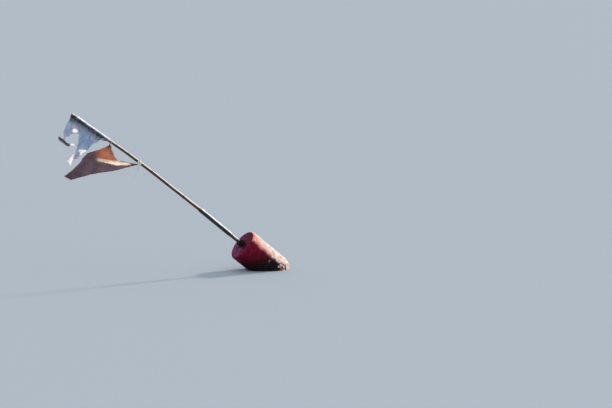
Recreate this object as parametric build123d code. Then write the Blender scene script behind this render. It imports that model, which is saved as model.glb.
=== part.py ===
from build123d import *
import os
from math import cos, radians, sin, sqrt

os.makedirs("parts", exist_ok=True)

# A home-made lobster pot marker: a bullet-shaped foam float on a bamboo cane, with two flags near
# the top and a ballast weight at the foot. Millimetres, +Z up. The origin is where the float's axis
# meets the water, and the cane leans towards -X in the plane Y = 0.

# Float
float_r = 125.0
float_length = 457.0
float_top = 318.0
float_lean = 39.3
float_rim_fillet = 18.0
float_end_flat_r = 34.0
float_bore_r = 18.4
float_mouth_r = 20.2
float_mouth_depth = 5.0

# Cane: distances run along it from the float's flat top, and are negative below it.
cane_r = 14.3
cane_taper = 0.0024
cane_tip = 1721.0
cane_foot = -1013.0
cane_tip_bore_r = 6.2
cane_tip_bore_depth = 70.0
node_rise = 1.3
node_scar_rise = 0.7
node_half_length = 8.0
node_root = 0.4
# Each row is a joint of the cane: its distance, and how far the cane droops from there on (deg).
cane_nodes = [
    (-945.0, 0.0),
    (-795.0, 0.0),
    (-645.0, 0.0),
    (-508.0, 0.0),
    (-345.0, 0.0),
    (-190.0, 0.0),
    (-35.0, 0.0),
    (118.0, 0.0),
    (288.0, 0.0),
    (455.0, 1.1),
    (622.0, 0.0),
    (784.0, 0.0),
    (944.0, 0.9),
    (1066.0, 0.0),
    (1180.0, 2.0),
    (1292.0, 0.0),
    (1402.0, 0.0),
    (1510.0, 0.0),
    (1616.0, 0.0),
]

# Sleeve of water pipe over the lower cane
sleeve_start = 131.0
sleeve_end = 443.0
sleeve_wall = 1.9
sleeve_chamfer = 0.8

# Fits
seat_gap = 0.25
bolt_gap = 0.3
cut_over = 1.0

# Twine windings: start, turns, layers, cord radius, swell in the middle
stop_start = 0.3
stop_turns = 9
stop_layers = 2
stop_cord_r = 2.1
stop_swell = 2.4
tip_lash_from_tip = 35.0
tip_lash_start = cane_tip - tip_lash_from_tip
tip_lash_turns = 6
tip_lash_cord_r = 1.8
tip_lash_swell = 1.0

# Upper flag: thin plastic film, wrapped round the cane along its top edge, below the tip lashing
hem_clearance = 4.0
hem_end = tip_lash_start - hem_clearance
hem_length = 316.0
hem_start = hem_end - hem_length
hem_wall = 1.6
film_thickness = 2.6
film_top_wave = 2.0
film_bottom_wave = 26.0
film_waves = 4
film_reach = 420.0
film_past_hem = 40.0
film_past_tip = 20.0

# Lower flag: cloth tied at two corners, with a fold that opens between them
cloth_thickness = 3.4
cloth_corner_height = 4.0
tie_clearance = 21.0
tie_turns = 2
tie_cord_r = 2.0
tie_start = hem_start - tie_clearance - 2 * tie_cord_r * tie_turns
tie_swell = 0.3
luff_length = 290.0
corner_start = tie_start - luff_length
corner_turns = 12
corner_cord_r = 1.6
corner_swell = 0.8
knot_r = 6.5
knot_sag = 2.0

# Loose tail of the corner twine
tail_r = 1.5

# Ballast and the strap that takes the pot line
ballast_r = 48.0
ballast_length = 105.0
ballast_edge = 5.0
strap_width = 32.0
strap_thickness = 5.0
strap_leg = 46.0
strap_drop = 34.0
bolt_r = 5.0
bolt_from_foot = 24.0
bolt_spare = 6.0
head_height = 6.5
head_flats = 17.0
nut_height = 8.0
washer_r = 10.5
washer_thickness = 2.0


def leaning(point, lean):
    """A plane at point whose Z runs up the cane and whose X is the cane's upper side."""
    a = radians(lean)
    return Plane(origin=point, x_dir=(sin(a), 0, cos(a)), z_dir=(-cos(a), 0, sin(a)))


def shifted(plane, offset):
    """The same plane, moved by an offset along its own axes."""
    return Plane(
        origin=plane.from_local_coords(offset),
        x_dir=plane.x_dir,
        z_dir=plane.z_dir,
    )


def internodes():
    """Each stretch of the cane between two joints: start, end, radius, plane at its start."""
    starts = [(cane_foot, 0.0)] + [row for row in cane_nodes if cane_foot < row[0] < cane_tip]
    lean = float_lean
    rows = []
    plane = leaning(leaning((0, 0, 0), lean).from_local_coords((0, 0, float_top + cane_foot)), lean)
    for i, (start, droop) in enumerate(starts):
        end = starts[i + 1][0] if i + 1 < len(starts) else cane_tip
        lean -= droop
        plane = leaning(plane.origin, lean)
        rows.append((start, end, cane_r - cane_taper * (start + end) / 2, plane))
        plane = leaning(plane.from_local_coords((0, 0, end - start)), lean)
    return rows


stretches = internodes()


def stretch_at(distance):
    return max((row for row in stretches if row[0] <= distance), key=lambda row: row[0])


def along(distance, up=0.0, side=0.0):
    """The cane's plane at a distance, moved off its axis by up and side."""
    start, _, _, plane = stretch_at(distance)
    return shifted(plane, (up, side, distance - start))


def turned(points):
    """Revolves a closed profile about Z. A row of three points is an arc, of two a line."""
    edges = []
    for row in points:
        corners = [(r, 0, z) for r, z in row]
        edges.append(ThreePointArc(*corners) if len(row) == 3 else Line(*corners))
    return revolve(Plane.XZ * make_face([Plane.XZ.to_local_coords(e) for e in edges]), Axis.Z)


def ring_profile(r):
    """The swelling of a joint, with the leaf scar below its ridge."""
    low, high, root = -node_half_length, node_half_length, r - node_root
    return [
        [(0, low), (root, low)],
        [(root, low), (r + node_scar_rise, low / 2), (r + node_scar_rise / 2, -0.5)],
        [(r + node_scar_rise / 2, -0.5), (r + node_rise, high / 3), (root, high)],
        [(root, high), (0, high)],
        [(0, high), (0, low)],
    ]


def cane_between(first, last, gap=0.0):
    """The cane's outer form from one distance to another, grown by a gap."""
    pieces = []
    for start, end, r, _ in stretches:
        low, high = max(start, first), min(end, last)
        if high > low:
            piece = Cylinder(r + gap, high - low, align=(Align.CENTER, Align.CENTER, Align.MIN))
            pieces.append(along(low).location * piece)
    for below, above in zip(stretches, stretches[1:]):
        distance = above[0]
        if first - node_half_length < distance < last + node_half_length:
            pieces.append(along(distance).location * turned(ring_profile(below[2] + gap)))
    return pieces[0].fuse(*pieces[1:]) if len(pieces) > 1 else pieces[0]


def widest(first, last):
    """The cane's largest radius between two distances, with its joints."""
    rows = [r for start, end, r, _ in stretches if end > first and start < last]
    return max(rows) + node_rise


def winding(start, turns, cord, swell, layers=1):
    """Turns of twine on the cane, side by side and thickest in the middle."""
    base = stretch_at(start)[2] + (2 * layers - 1) * cord
    middle = turns / 2
    steps = [(base + swell * (1 - ((i - middle) / middle) ** 2), 2 * cord * i) for i in range(turns + 1)]
    rows = [[(0, 0), steps[0]]]
    for (r0, z0), (r1, z1) in zip(steps, steps[1:]):
        rows.append([(r0, z0), (max(r0, r1) + cord, (z0 + z1) / 2), (r1, z1)])
    height = steps[-1][1]
    rows += [[steps[-1], (0, height)], [(0, height), (0, 0)]]
    bore = cane_between(start - cut_over, start + height + cut_over, seat_gap)
    return along(start).location * turned(rows) - bore


def knot(start, turns, cord, swell):
    """A knot under a winding's middle, shaped to its turns, and the plane of its centre."""
    middle = start + cord * turns
    wound_r = stretch_at(start)[2] + 2 * cord + swell + seat_gap
    place = along(middle, up=-wound_r - knot_r + knot_sag)
    turns_space = along(middle).location * Cylinder(wound_r, 4 * knot_r)
    return place.location * Sphere(knot_r) - turns_space, place


def save(shape, name):
    shape.label = name
    export_step(shape, f"parts/{name}.step")


# Float: a turned bullet with a filleted rim, bored for the cane and worn at both mouths.
axis = leaning((0, 0, 0), float_lean)
float_ball = float_top - float_length + float_r
float_end = float_ball - sqrt(float_r**2 - float_end_flat_r**2)
slant = float_r * sqrt(0.5)
soft = float_rim_fillet * (1 - sqrt(0.5))
float_body = turned([
    [(0, float_top), (float_r - float_rim_fillet, float_top)],
    [
        (float_r - float_rim_fillet, float_top),
        (float_r - soft, float_top - soft),
        (float_r, float_top - float_rim_fillet),
    ],
    [(float_r, float_top - float_rim_fillet), (float_r, float_ball)],
    [(float_r, float_ball), (slant, float_ball - slant), (float_end_flat_r, float_end)],
    [(float_end_flat_r, float_end), (0, float_end)],
    [(0, float_end), (0, float_top)],
])
mouth = float_mouth_depth
float_bore = turned([
    [(0, float_top + cut_over), (float_mouth_r, float_top + cut_over)],
    [(float_mouth_r, float_top + cut_over), (float_mouth_r, float_top)],
    [(float_mouth_r, float_top), (float_bore_r, float_top - mouth)],
    [(float_bore_r, float_top - mouth), (float_bore_r, float_end + mouth)],
    [(float_bore_r, float_end + mouth), (float_mouth_r, float_end)],
    [(float_mouth_r, float_end), (float_mouth_r, float_end - cut_over)],
    [(float_mouth_r, float_end - cut_over), (0, float_end - cut_over)],
    [(0, float_end - cut_over), (0, float_top + cut_over)],
])
save(axis.location * (float_body - float_bore), "float_body")

# Cane: straight internodes that meet at swollen joints, open at the top.
bolt_at = cane_foot + bolt_from_foot
cane = cane_between(cane_foot, cane_tip)
cane -= along(cane_tip - cane_tip_bore_depth).location * Cylinder(
    cane_tip_bore_r, cane_tip_bore_depth + cut_over, align=(Align.CENTER, Align.CENTER, Align.MIN)
)
cross = Rot(0, 90, 0) * Cylinder(bolt_r + bolt_gap, 6 * cane_r)
cane -= along(bolt_at).location * cross
save(cane, "bamboo_cane")

# Sleeve: a length of pipe pushed on over the joints.
sleeve_bore_r = widest(sleeve_start, sleeve_end) + seat_gap
sleeve_r = sleeve_bore_r + sleeve_wall
sleeve_length = sleeve_end - sleeve_start
sleeve = turned([
    [(sleeve_bore_r, 0), (sleeve_r - sleeve_chamfer, 0)],
    [(sleeve_r - sleeve_chamfer, 0), (sleeve_r, sleeve_chamfer)],
    [(sleeve_r, sleeve_chamfer), (sleeve_r, sleeve_length - sleeve_chamfer)],
    [(sleeve_r, sleeve_length - sleeve_chamfer), (sleeve_r - sleeve_chamfer, sleeve_length)],
    [(sleeve_r - sleeve_chamfer, sleeve_length), (sleeve_bore_r, sleeve_length)],
    [(sleeve_bore_r, sleeve_length), (sleeve_bore_r, 0)],
])
save(along(sleeve_start).location * sleeve, "pole_sleeve")

# Windings that stop the float, and that hold the flags.
stop_height = 2 * stop_cord_r * stop_turns
below = float_end - float_top - stop_start - stop_height
save(winding(stop_start, stop_turns, stop_cord_r, stop_swell, stop_layers), "top_stop_lashing")
save(winding(below, stop_turns, stop_cord_r, stop_swell, stop_layers), "bottom_stop_lashing")
save(winding(tip_lash_start, tip_lash_turns, tip_lash_cord_r, tip_lash_swell), "tip_lashing")

tie = (tie_start, tie_turns, tie_cord_r, tie_swell)
save(winding(*tie), "lower_flag_top_tie")
top_knot, top_knot_place = knot(*tie)
save(top_knot, "lower_flag_top_knot")
corner = (corner_start, corner_turns, corner_cord_r, corner_swell)
save(winding(*corner), "corner_twine")
corner_knot, corner_knot_place = knot(*corner)
save(corner_knot, "corner_knot")

# Hem: the film wrapped round the cane, closed under it.
hem_bore_r = widest(hem_start, hem_end) + seat_gap
hem_r = hem_bore_r + hem_wall
hem = Cylinder(hem_r, hem_end - hem_start, align=(Align.CENTER, Align.CENTER, Align.MIN))
hem -= Cylinder(hem_bore_r, hem_end - hem_start, align=(Align.CENTER, Align.CENTER, Align.MIN))
save(along(hem_start).location * hem, "upper_flag_hem")


tip = along(cane_tip).origin
sheet_room = film_bottom_wave + film_reach / 2


def sheet_prism(outline):
    """A flag's torn outline, in X and Z from the cane's tip, carried through from side to side."""
    face = make_face(Polyline(*[(tip.X + x, 0, tip.Z + z) for x, z in outline], close=True))
    return extrude(face, amount=sheet_room, dir=(0, 1, 0), both=True)


def ribbon(plane, length, thickness, wave, count):
    """A thin band of equal waves along Z of a plane, as a closed wire."""
    step = length / count
    edges = []
    for side in (-1, 1):
        row = []
        for i in range(count):
            sway = wave if i % 2 else -wave
            off = side * thickness / 2
            row.append(ThreePointArc(
                plane.from_local_coords((0, off, i * step)),
                plane.from_local_coords((0, off + sway, (i + 0.5) * step)),
                plane.from_local_coords((0, off, (i + 1) * step)),
            ))
        edges += row
        end = length if side > 0 else 0
        edges.append(Line(
            plane.from_local_coords((0, -thickness / 2, end)),
            plane.from_local_coords((0, thickness / 2, end)),
        ))
    return Wire(edges)


# Upper flag: a film that ripples more towards its torn lower edge.
film_length = cane_tip - hem_start + film_past_hem + film_past_tip
hoist = shifted(along(hem_start, up=-hem_r - seat_gap), (0, 0, -film_past_hem))
foot = shifted(hoist, (-film_reach, 0, 0))
film = Solid.make_loft(
    [
        ribbon(hoist, film_length, film_thickness, film_top_wave, film_waves),
        ribbon(foot, film_length, film_thickness, film_bottom_wave, film_waves),
    ],
    ruled=True,
)
# Corners of the torn film in X and Z from the cane's tip, clockwise. Its torn border still hangs
# on at both ends, below the hole.
film_outline = [
    (-28, 42),
    (312, -198),
    (280, -212),
    (221, -201),
    (191, -217),
    (150, -244),
    (122, -270),
    (101, -287),
    (67, -315),
    (26, -328),
    (5, -358),
    (2, -385),
    (-21, -361),
    (-55, -341),
    (-9, -324),
    (13, -284),
    (31, -236),
    (1, -230),
    (-28, -234),
    (-47, -227),
    (-62, -211),
    (-81, -198),
    (-98, -181),
    (-105, -156),
    (-80, -173),
    (-66, -183),
    (-63, -130),
    (-46, -91),
    (-32, -59),
    (-12, -30),
]
film_hole = [
    (8, -142),
    (28, -140),
    (50, -143),
    (56, -154),
    (46, -200),
    (37, -218),
    (0, -217),
    (-24, -219),
    (-42, -209),
    (-54, -196),
    (-52, -178),
    (-42, -162),
    (-26, -164),
]
film = film & sheet_prism(film_outline)
film -= sheet_prism(film_hole)
tip_lash_r = stretch_at(tip_lash_start)[2] + 2 * tip_lash_cord_r + tip_lash_swell + seat_gap
film -= along(tip_lash_start - seat_gap).location * Cylinder(
    tip_lash_r, cane_tip - tip_lash_start, align=(Align.CENTER, Align.CENTER, Align.MIN)
)
save(film, "upper_flag")

# Lower flag: the cloth's section at its torn fly, through the fold and at its hoist corner.
# Each row is from the cane's tip: place along X, sway of the upper panel, sway and height of the
# fold's top edge, sway and height of its bottom edge, sway of the lower hem.
cloth_sections = [
    (-88, 0, -4, -333, -6, -348, 0),
    (212, 4, 6, -343, -8, -355, -6),
    (339, 0, 16, -362, -20, -393, -8),
    (452, 2, 10, -382, -8, -398, -4),
    (527, 0, 1, -396, -1, -402, 0),
]
cloth_head = -188
cloth_hem = -518
wires = []
for x, top, y1, z1, y2, z2, low in cloth_sections:
    t = cloth_thickness / 2
    spine = [(top, cloth_head), (y1, z1), (y2, z2), (low, cloth_hem)]
    loop = [(x, y - t, z) for y, z in spine] + [(x, y + t, z) for y, z in reversed(spine)]
    wires.append(Wire(Polyline(*loop, close=True).edges()))
cloth = Pos(tip) * Solid.make_loft(wires, ruled=True)
# Corners of the cloth in X and Z from the cane's tip, clockwise from the tied top corner.
cloth_top = top_knot_place.origin - tip + Vector(0, 0, -knot_r - seat_gap)
cloth_corner = corner_knot_place.origin - tip + Vector(-knot_r - seat_gap, 0, 0)
cloth_outline = [
    (cloth_top.X + cloth_corner_height / 2, cloth_top.Z),
    (318, -258),
    (335, -296),
    (355, -334),
    (377, -363),
    (450, -380),
    (cloth_corner.X, cloth_corner.Z + cloth_corner_height / 2),
    (cloth_corner.X, cloth_corner.Z - cloth_corner_height / 2),
    (458, -408),
    (378, -422),
    (299, -436),
    (219, -443),
    (140, -452),
    (61, -470),
    (-11, -486),
    (-65, -455),
    (-2, -416),
    (54, -364),
    (85, -332),
    (125, -293),
    (181, -281),
    (220, -272),
    (260, -259),
    (cloth_top.X - cloth_corner_height / 2, cloth_top.Z),
]
save(cloth & sheet_prism(cloth_outline), "lower_flag")

# Ballast: a bored iron weight that rests on the strap's legs.
ballast_start = cane_foot + strap_leg + seat_gap
ballast_bore_r = widest(ballast_start, ballast_start + ballast_length) + seat_gap
ballast = turned([
    [(ballast_bore_r, 0), (ballast_r - ballast_edge, 0)],
    [(ballast_r - ballast_edge, 0), (ballast_r, ballast_edge)],
    [(ballast_r, ballast_edge), (ballast_r, ballast_length - ballast_edge)],
    [(ballast_r, ballast_length - ballast_edge), (ballast_r - ballast_edge, ballast_length)],
    [(ballast_r - ballast_edge, ballast_length), (ballast_bore_r, ballast_length)],
    [(ballast_bore_r, ballast_length), (ballast_bore_r, 0)],
])
save(along(ballast_start).location * ballast, "ballast_weight")

# Strap: flat bar bent round below the foot, so that its bow takes the pot line.
foot_r = stretch_at(cane_foot)[2]
leg_in = foot_r + seat_gap
leg_out = leg_in + strap_thickness


def bow(r, top, bottom):
    """A U of half-width r: straight legs and a half-round bottom."""
    return make_face([
        Line((-r, 0, top), (-r, 0, bottom)),
        ThreePointArc((-r, 0, bottom), (0, 0, bottom - r), (r, 0, bottom)),
        Line((r, 0, bottom), (r, 0, top)),
        Line((r, 0, top), (-r, 0, top)),
    ])


bow_centre = -strap_drop + leg_in
strap_face = bow(leg_out, strap_leg, bow_centre) - bow(leg_in, strap_leg, bow_centre)
strap = extrude(strap_face, amount=strap_width / 2, dir=(0, 1, 0), both=True)
strap -= Pos(0, 0, bolt_from_foot) * Rot(0, 90, 0) * Cylinder(bolt_r + bolt_gap, 3 * leg_out)
save(along(cane_foot).location * strap, "mooring_strap")

# Through bolt with its washers and nut.
washer_in = leg_out + seat_gap / 5
washer_out = washer_in + washer_thickness
head_in = washer_out + seat_gap / 5
hexagon = RegularPolygon(head_flats / 2, 6, major_radius=False)
bolt_end = head_in + nut_height + bolt_spare
bolt_at_foot = along(bolt_at).location * Rot(0, 90, 0)
bolt = Pos(0, 0, -head_in - head_height) * extrude(hexagon, amount=head_height)
bolt += Pos(0, 0, -head_in) * Cylinder(
    bolt_r, head_in + bolt_end, align=(Align.CENTER, Align.CENTER, Align.MIN)
)
save(bolt_at_foot * bolt, "foot_bolt")
nut = Pos(0, 0, head_in) * extrude(hexagon, amount=nut_height)
nut -= Cylinder(bolt_r + seat_gap / 5, 3 * bolt_end)
save(bolt_at_foot * nut, "foot_nut")
washer = Cylinder(washer_r, washer_thickness) - Cylinder(bolt_r + bolt_gap, washer_thickness)
middle = (washer_in + washer_out) / 2
for name, side in (("head_washer", -1), ("nut_washer", 1)):
    save(bolt_at_foot * Pos(0, 0, side * middle) * washer, name)

# Loose tail of the corner twine: a frayed end that hangs and bends in the wind.
# Each row is a step from the knot's centre, after a start on its surface.
tail_steps = [(3, -1, -24), (2, -2, -44), (-6, -2, -62), (-18, -1, -80), (-31, 1, -97)]
tail_from = corner_knot_place.origin
tail_points = [tail_from + Vector(*step) for step in tail_steps]
tail_points.insert(0, tail_from + Vector(*tail_steps[0]).normalized() * (knot_r + seat_gap))
tail_turns = []
for before, at, after in zip(tail_points, tail_points[1:], tail_points[2:]):
    angle = (at - before).get_angle(after - at)
    shorter = min((at - before).length, (after - at).length)
    tail_turns.append(0.45 * shorter / abs(sin(radians(angle / 2)) / cos(radians(angle / 2))))
tail_path = FilletPolyline(*tail_points, radius=tail_turns)
tail_section = Plane(origin=tail_points[0], z_dir=tail_path % 0) * Circle(tail_r)
tail = sweep(tail_section, path=tail_path)
print("tail length", round(tail_path.length, 1))
save(tail, "twine_tail")
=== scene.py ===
"""Dresses the lobster pot buoy. The turned float, the pipe and the ironwork keep their solids
and get finishes; the cane, the twine, the film flag and the cloth flag are modelled in full.

Metres, in the part's own frame: Z is up, the water is at z = 0, and the cane leans towards -X."""
from math import atan2, cos, exp, hypot, pi, radians, sin

import bmesh
import bpy
from mathutils import Matrix, Vector, geometry, noise


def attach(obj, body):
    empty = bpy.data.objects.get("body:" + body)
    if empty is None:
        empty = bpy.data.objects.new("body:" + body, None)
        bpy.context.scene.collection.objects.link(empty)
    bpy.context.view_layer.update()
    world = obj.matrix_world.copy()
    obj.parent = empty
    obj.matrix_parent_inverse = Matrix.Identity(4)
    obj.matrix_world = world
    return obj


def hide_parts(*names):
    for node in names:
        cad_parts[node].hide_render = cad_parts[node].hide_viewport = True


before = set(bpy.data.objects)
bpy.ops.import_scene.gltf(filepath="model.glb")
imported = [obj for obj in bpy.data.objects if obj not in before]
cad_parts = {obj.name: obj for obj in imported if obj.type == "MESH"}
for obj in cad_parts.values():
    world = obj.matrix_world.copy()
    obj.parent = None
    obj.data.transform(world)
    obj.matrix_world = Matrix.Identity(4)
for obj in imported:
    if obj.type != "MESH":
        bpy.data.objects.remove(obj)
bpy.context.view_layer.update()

# Float: distances run along its axis from the origin
FLOAT_LEAN = radians(39.3)
FLOAT_TOP = 0.318
FLOAT_LENGTH = 0.457
FLOAT_R = 0.125

# Marks on the float's near side
FOULING = (0.036, -0.117, 0.024)
# Each row is a place, a radius and a colour
FLOAT_SCUFFS = [
    ((-0.184, -0.120, 0.195), 0.009, "#3a2436"),
    ((-0.260, -0.122, 0.180), 0.010, "#1c1850"),
    ((-0.249, -0.053, 0.198), 0.024, "#3a0018"),
    ((-0.274, -0.013, 0.167), 0.015, "#564068"),
    ((-0.305, -0.017, 0.129), 0.017, "#743462"),
    ((-0.046, -0.114, 0.1106), 0.007, "#fff4ea"),
    ((-0.077, -0.122, 0.080), 0.008, "#84707c"),
]

# Cane: distances run along it from the float's flat top, and are negative below it
CANE_R = 0.0143
CANE_TAPER = 0.0024
CANE_TIP = 1.721
CANE_FOOT = -1.013
CANE_BORE_R = 0.0062
CANE_BORE_DEPTH = 0.070
JOINT_RISE = 0.0013
JOINT_SCAR_RISE = 0.0007
JOINT_HALF_LENGTH = 0.008
# Each row is a joint of the cane: its distance, and how far the cane droops from there on (deg)
CANE_JOINTS = [
    (-0.945, 0.0), (-0.795, 0.0), (-0.645, 0.0), (-0.508, 0.0), (-0.345, 0.0), (-0.190, 0.0),
    (-0.035, 0.0), (0.118, 0.0), (0.288, 0.0), (0.455, 1.1), (0.622, 0.0), (0.784, 0.0),
    (0.944, 0.9), (1.066, 0.0), (1.180, 2.0), (1.292, 0.0), (1.402, 0.0), (1.510, 0.0),
    (1.616, 0.0),
]
SEAT_GAP = 0.00025

# Windings and knots of twine
STOP_START = 0.0003
STOP_TURNS = 9
STOP_CORD_R = 0.0021
STOP_SWELL = 0.0024
TIP_LASH_START = CANE_TIP - 0.035
TIP_LASH_TURNS = 6
TIP_LASH_CORD_R = 0.0018
TIP_LASH_SWELL = 0.001
TIE_START = 1.337
TIE_TURNS = 2
TIE_CORD_R = 0.002
TIE_SWELL = 0.0003
CORNER_START = 1.047
CORNER_TURNS = 12
CORNER_CORD_R = 0.0016
CORNER_SWELL = 0.0008
# Whole windings: start, turns, radius of the twine, and how far the middle swells
TIP_LASH = (TIP_LASH_START, TIP_LASH_TURNS, TIP_LASH_CORD_R, TIP_LASH_SWELL)
TIE = (TIE_START, TIE_TURNS, TIE_CORD_R, TIE_SWELL)
CORNER = (CORNER_START, CORNER_TURNS, CORNER_CORD_R, CORNER_SWELL)
KNOT_R = 0.0065
KNOT_SAG = 0.002
TAIL_R = 0.0015
# Loops of the corner knot, as runs from its centre
CORNER_LOOPS = [
    [
        (-0.001, -0.004, -0.003),
        (-0.009, -0.007, -0.010),
        (-0.014, -0.008, -0.026),
        (-0.005, -0.007, -0.036),
        (0.003, -0.006, -0.024),
        (0.001, -0.004, -0.003),
    ],
    [
        (0.002, -0.004, -0.002),
        (0.013, -0.006, -0.004),
        (0.023, -0.006, -0.014),
        (0.021, -0.006, -0.026),
        (0.010, -0.006, -0.020),
        (0.001, -0.004, -0.004),
    ],
]

# Film flag and its hem
HEM_START = 1.366
HEM_END = 1.682
HEM_WALL = 0.0016
FILM_TOP_WAVE = 0.002
FILM_BOTTOM_WAVE = 0.026
FILM_WAVES = 4
FILM_REACH = 0.420
FILM_PAST_HEM = 0.040
FILM_PAST_TIP = 0.020
FILM_WALL = 0.0004
WRAP_WALL = 0.0006

# Cloth flag. Its threads lie about twice as far apart as real ones, so that the weave shows.
THREAD_SPACING = 0.0013
CLOTH_WALL = 0.0012

# How finely sheets are cut: the net of points that fills them, and the steps along a torn edge
NET_SPACING = 0.003
TEAR_STEP = 0.005

# The photograph's frame in pixels, and where its camera stood
PHOTO_WIDTH = 612
SENSOR_WIDTH = 36.0
FOCAL_PIXELS = 3696.0
CAMERA_DISTANCE = 28.0
CAMERA_TURN = radians(24.2)
CAMERA_RISE = radians(8.5)
AIM_YAW = radians(0.53205)
AIM_PITCH = radians(-1.00175)


# Places along the cane

def leaning(point, lean):
    """A frame at point whose Z runs up the cane and whose X is the cane's upper side."""
    return Matrix.Translation(point) @ Matrix.Rotation(lean - pi / 2, 4, "Y")


def cane_stretches():
    """Each stretch between two joints: start, end and the frame at its start."""
    starts = [(CANE_FOOT, 0.0)] + CANE_JOINTS
    ends = [row[0] for row in CANE_JOINTS] + [CANE_TIP]
    lean = FLOAT_LEAN
    place = leaning((0, 0, 0), lean) @ Matrix.Translation((0, 0, FLOAT_TOP + CANE_FOOT))
    rows = []
    for (start, droop), end in zip(starts, ends):
        lean -= radians(droop)
        place = leaning(place.translation, lean)
        rows.append((start, end, place))
        place = place @ Matrix.Translation((0, 0, end - start))
    return rows


STRETCHES = cane_stretches()


def along(distance, up=0.0, side=0.0):
    """The cane's frame at a distance, moved off its axis by up and side."""
    rows = [row for row in STRETCHES if row[0] <= distance] or STRETCHES[:1]
    start, _, place = rows[-1]
    return place @ Matrix.Translation((up, side, distance - start))


def cane_radius(distance):
    """The radius between joints, as the solid has it: one value for each stretch."""
    rows = [row for row in STRETCHES if row[0] <= distance] or STRETCHES[:1]
    start, end, _ = rows[-1]
    return CANE_R - CANE_TAPER * (start + end) / 2


def cane_place(point):
    """A point in the straightened cane: up and side off its axis, and distance along it."""
    for start, end, place in reversed(STRETCHES):
        local = place.inverted() @ point
        if local.z >= 0 or start == CANE_FOOT:
            return Vector((local.x, local.y, start + local.z))


TIP = along(CANE_TIP).translation


# Small helpers

def linear(colour):
    """An sRGB hex colour as linear RGBA."""
    channels = [int(colour[i : i + 2], 16) / 255 for i in (1, 3, 5)]
    return [c / 12.92 if c <= 0.04045 else ((c + 0.055) / 1.055) ** 2.4 for c in channels] + [1.0]


def add(tree, kind, inputs=None, **settings):
    """Adds a node. Each input is a plain value, a hex colour, or the socket or node that feeds it."""
    made = tree.nodes.new(kind)
    for name, value in settings.items():
        setattr(made, name, value)
    for key, value in (inputs or {}).items():
        if isinstance(value, bpy.types.Node):
            value = value.outputs[0]
        if isinstance(value, bpy.types.NodeSocket):
            tree.links.new(value, made.inputs[key])
        else:
            coloured = isinstance(value, str) and value.startswith("#")
            made.inputs[key].default_value = linear(value) if coloured else value
    return made


def per_metre(size):
    """A pattern's scale: how many of its features, of a size in millimetres, fit in a metre."""
    return round(1000 / size)


def smooth(low, high, value):
    """0 below low, 1 above high, and a smooth step between."""
    t = min(max((value - low) / (high - low), 0.0), 1.0)
    return t * t * (3 - 2 * t)


def placed(name, data):
    """An object that holds the data, in the scene."""
    made = bpy.data.objects.new(name, data)
    bpy.context.scene.collection.objects.link(made)
    return made


def piece(name, mesh, material=None):
    """A finished piece at the origin that rides with the buoy."""
    mesh.name = name
    made = placed(name, mesh)
    if material:
        mesh.materials.clear()
        mesh.materials.append(material)
    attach(made, "root")
    return made


def plain_mesh(carrier):
    """What an object shows, as a mesh of its own. The object goes."""
    graph = bpy.context.evaluated_depsgraph_get()
    mesh = bpy.data.meshes.new_from_object(carrier.evaluated_get(graph), depsgraph=graph)
    bpy.data.objects.remove(carrier)
    return mesh


def run_mesh(name, points):
    """An open run of edges through the points."""
    mesh = bpy.data.meshes.new(name)
    mesh.from_pydata(points, [(i, i + 1) for i in range(len(points) - 1)], [])
    return mesh


def write(mesh, name, values, kind="FLOAT"):
    """Gives each point of a mesh its value, under a name that a finish or a tree reads."""
    layer = mesh.attributes.new(name, kind, "POINT")
    layer.data.foreach_set("value" if kind == "FLOAT" else "vector", values)


# Finishes

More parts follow.
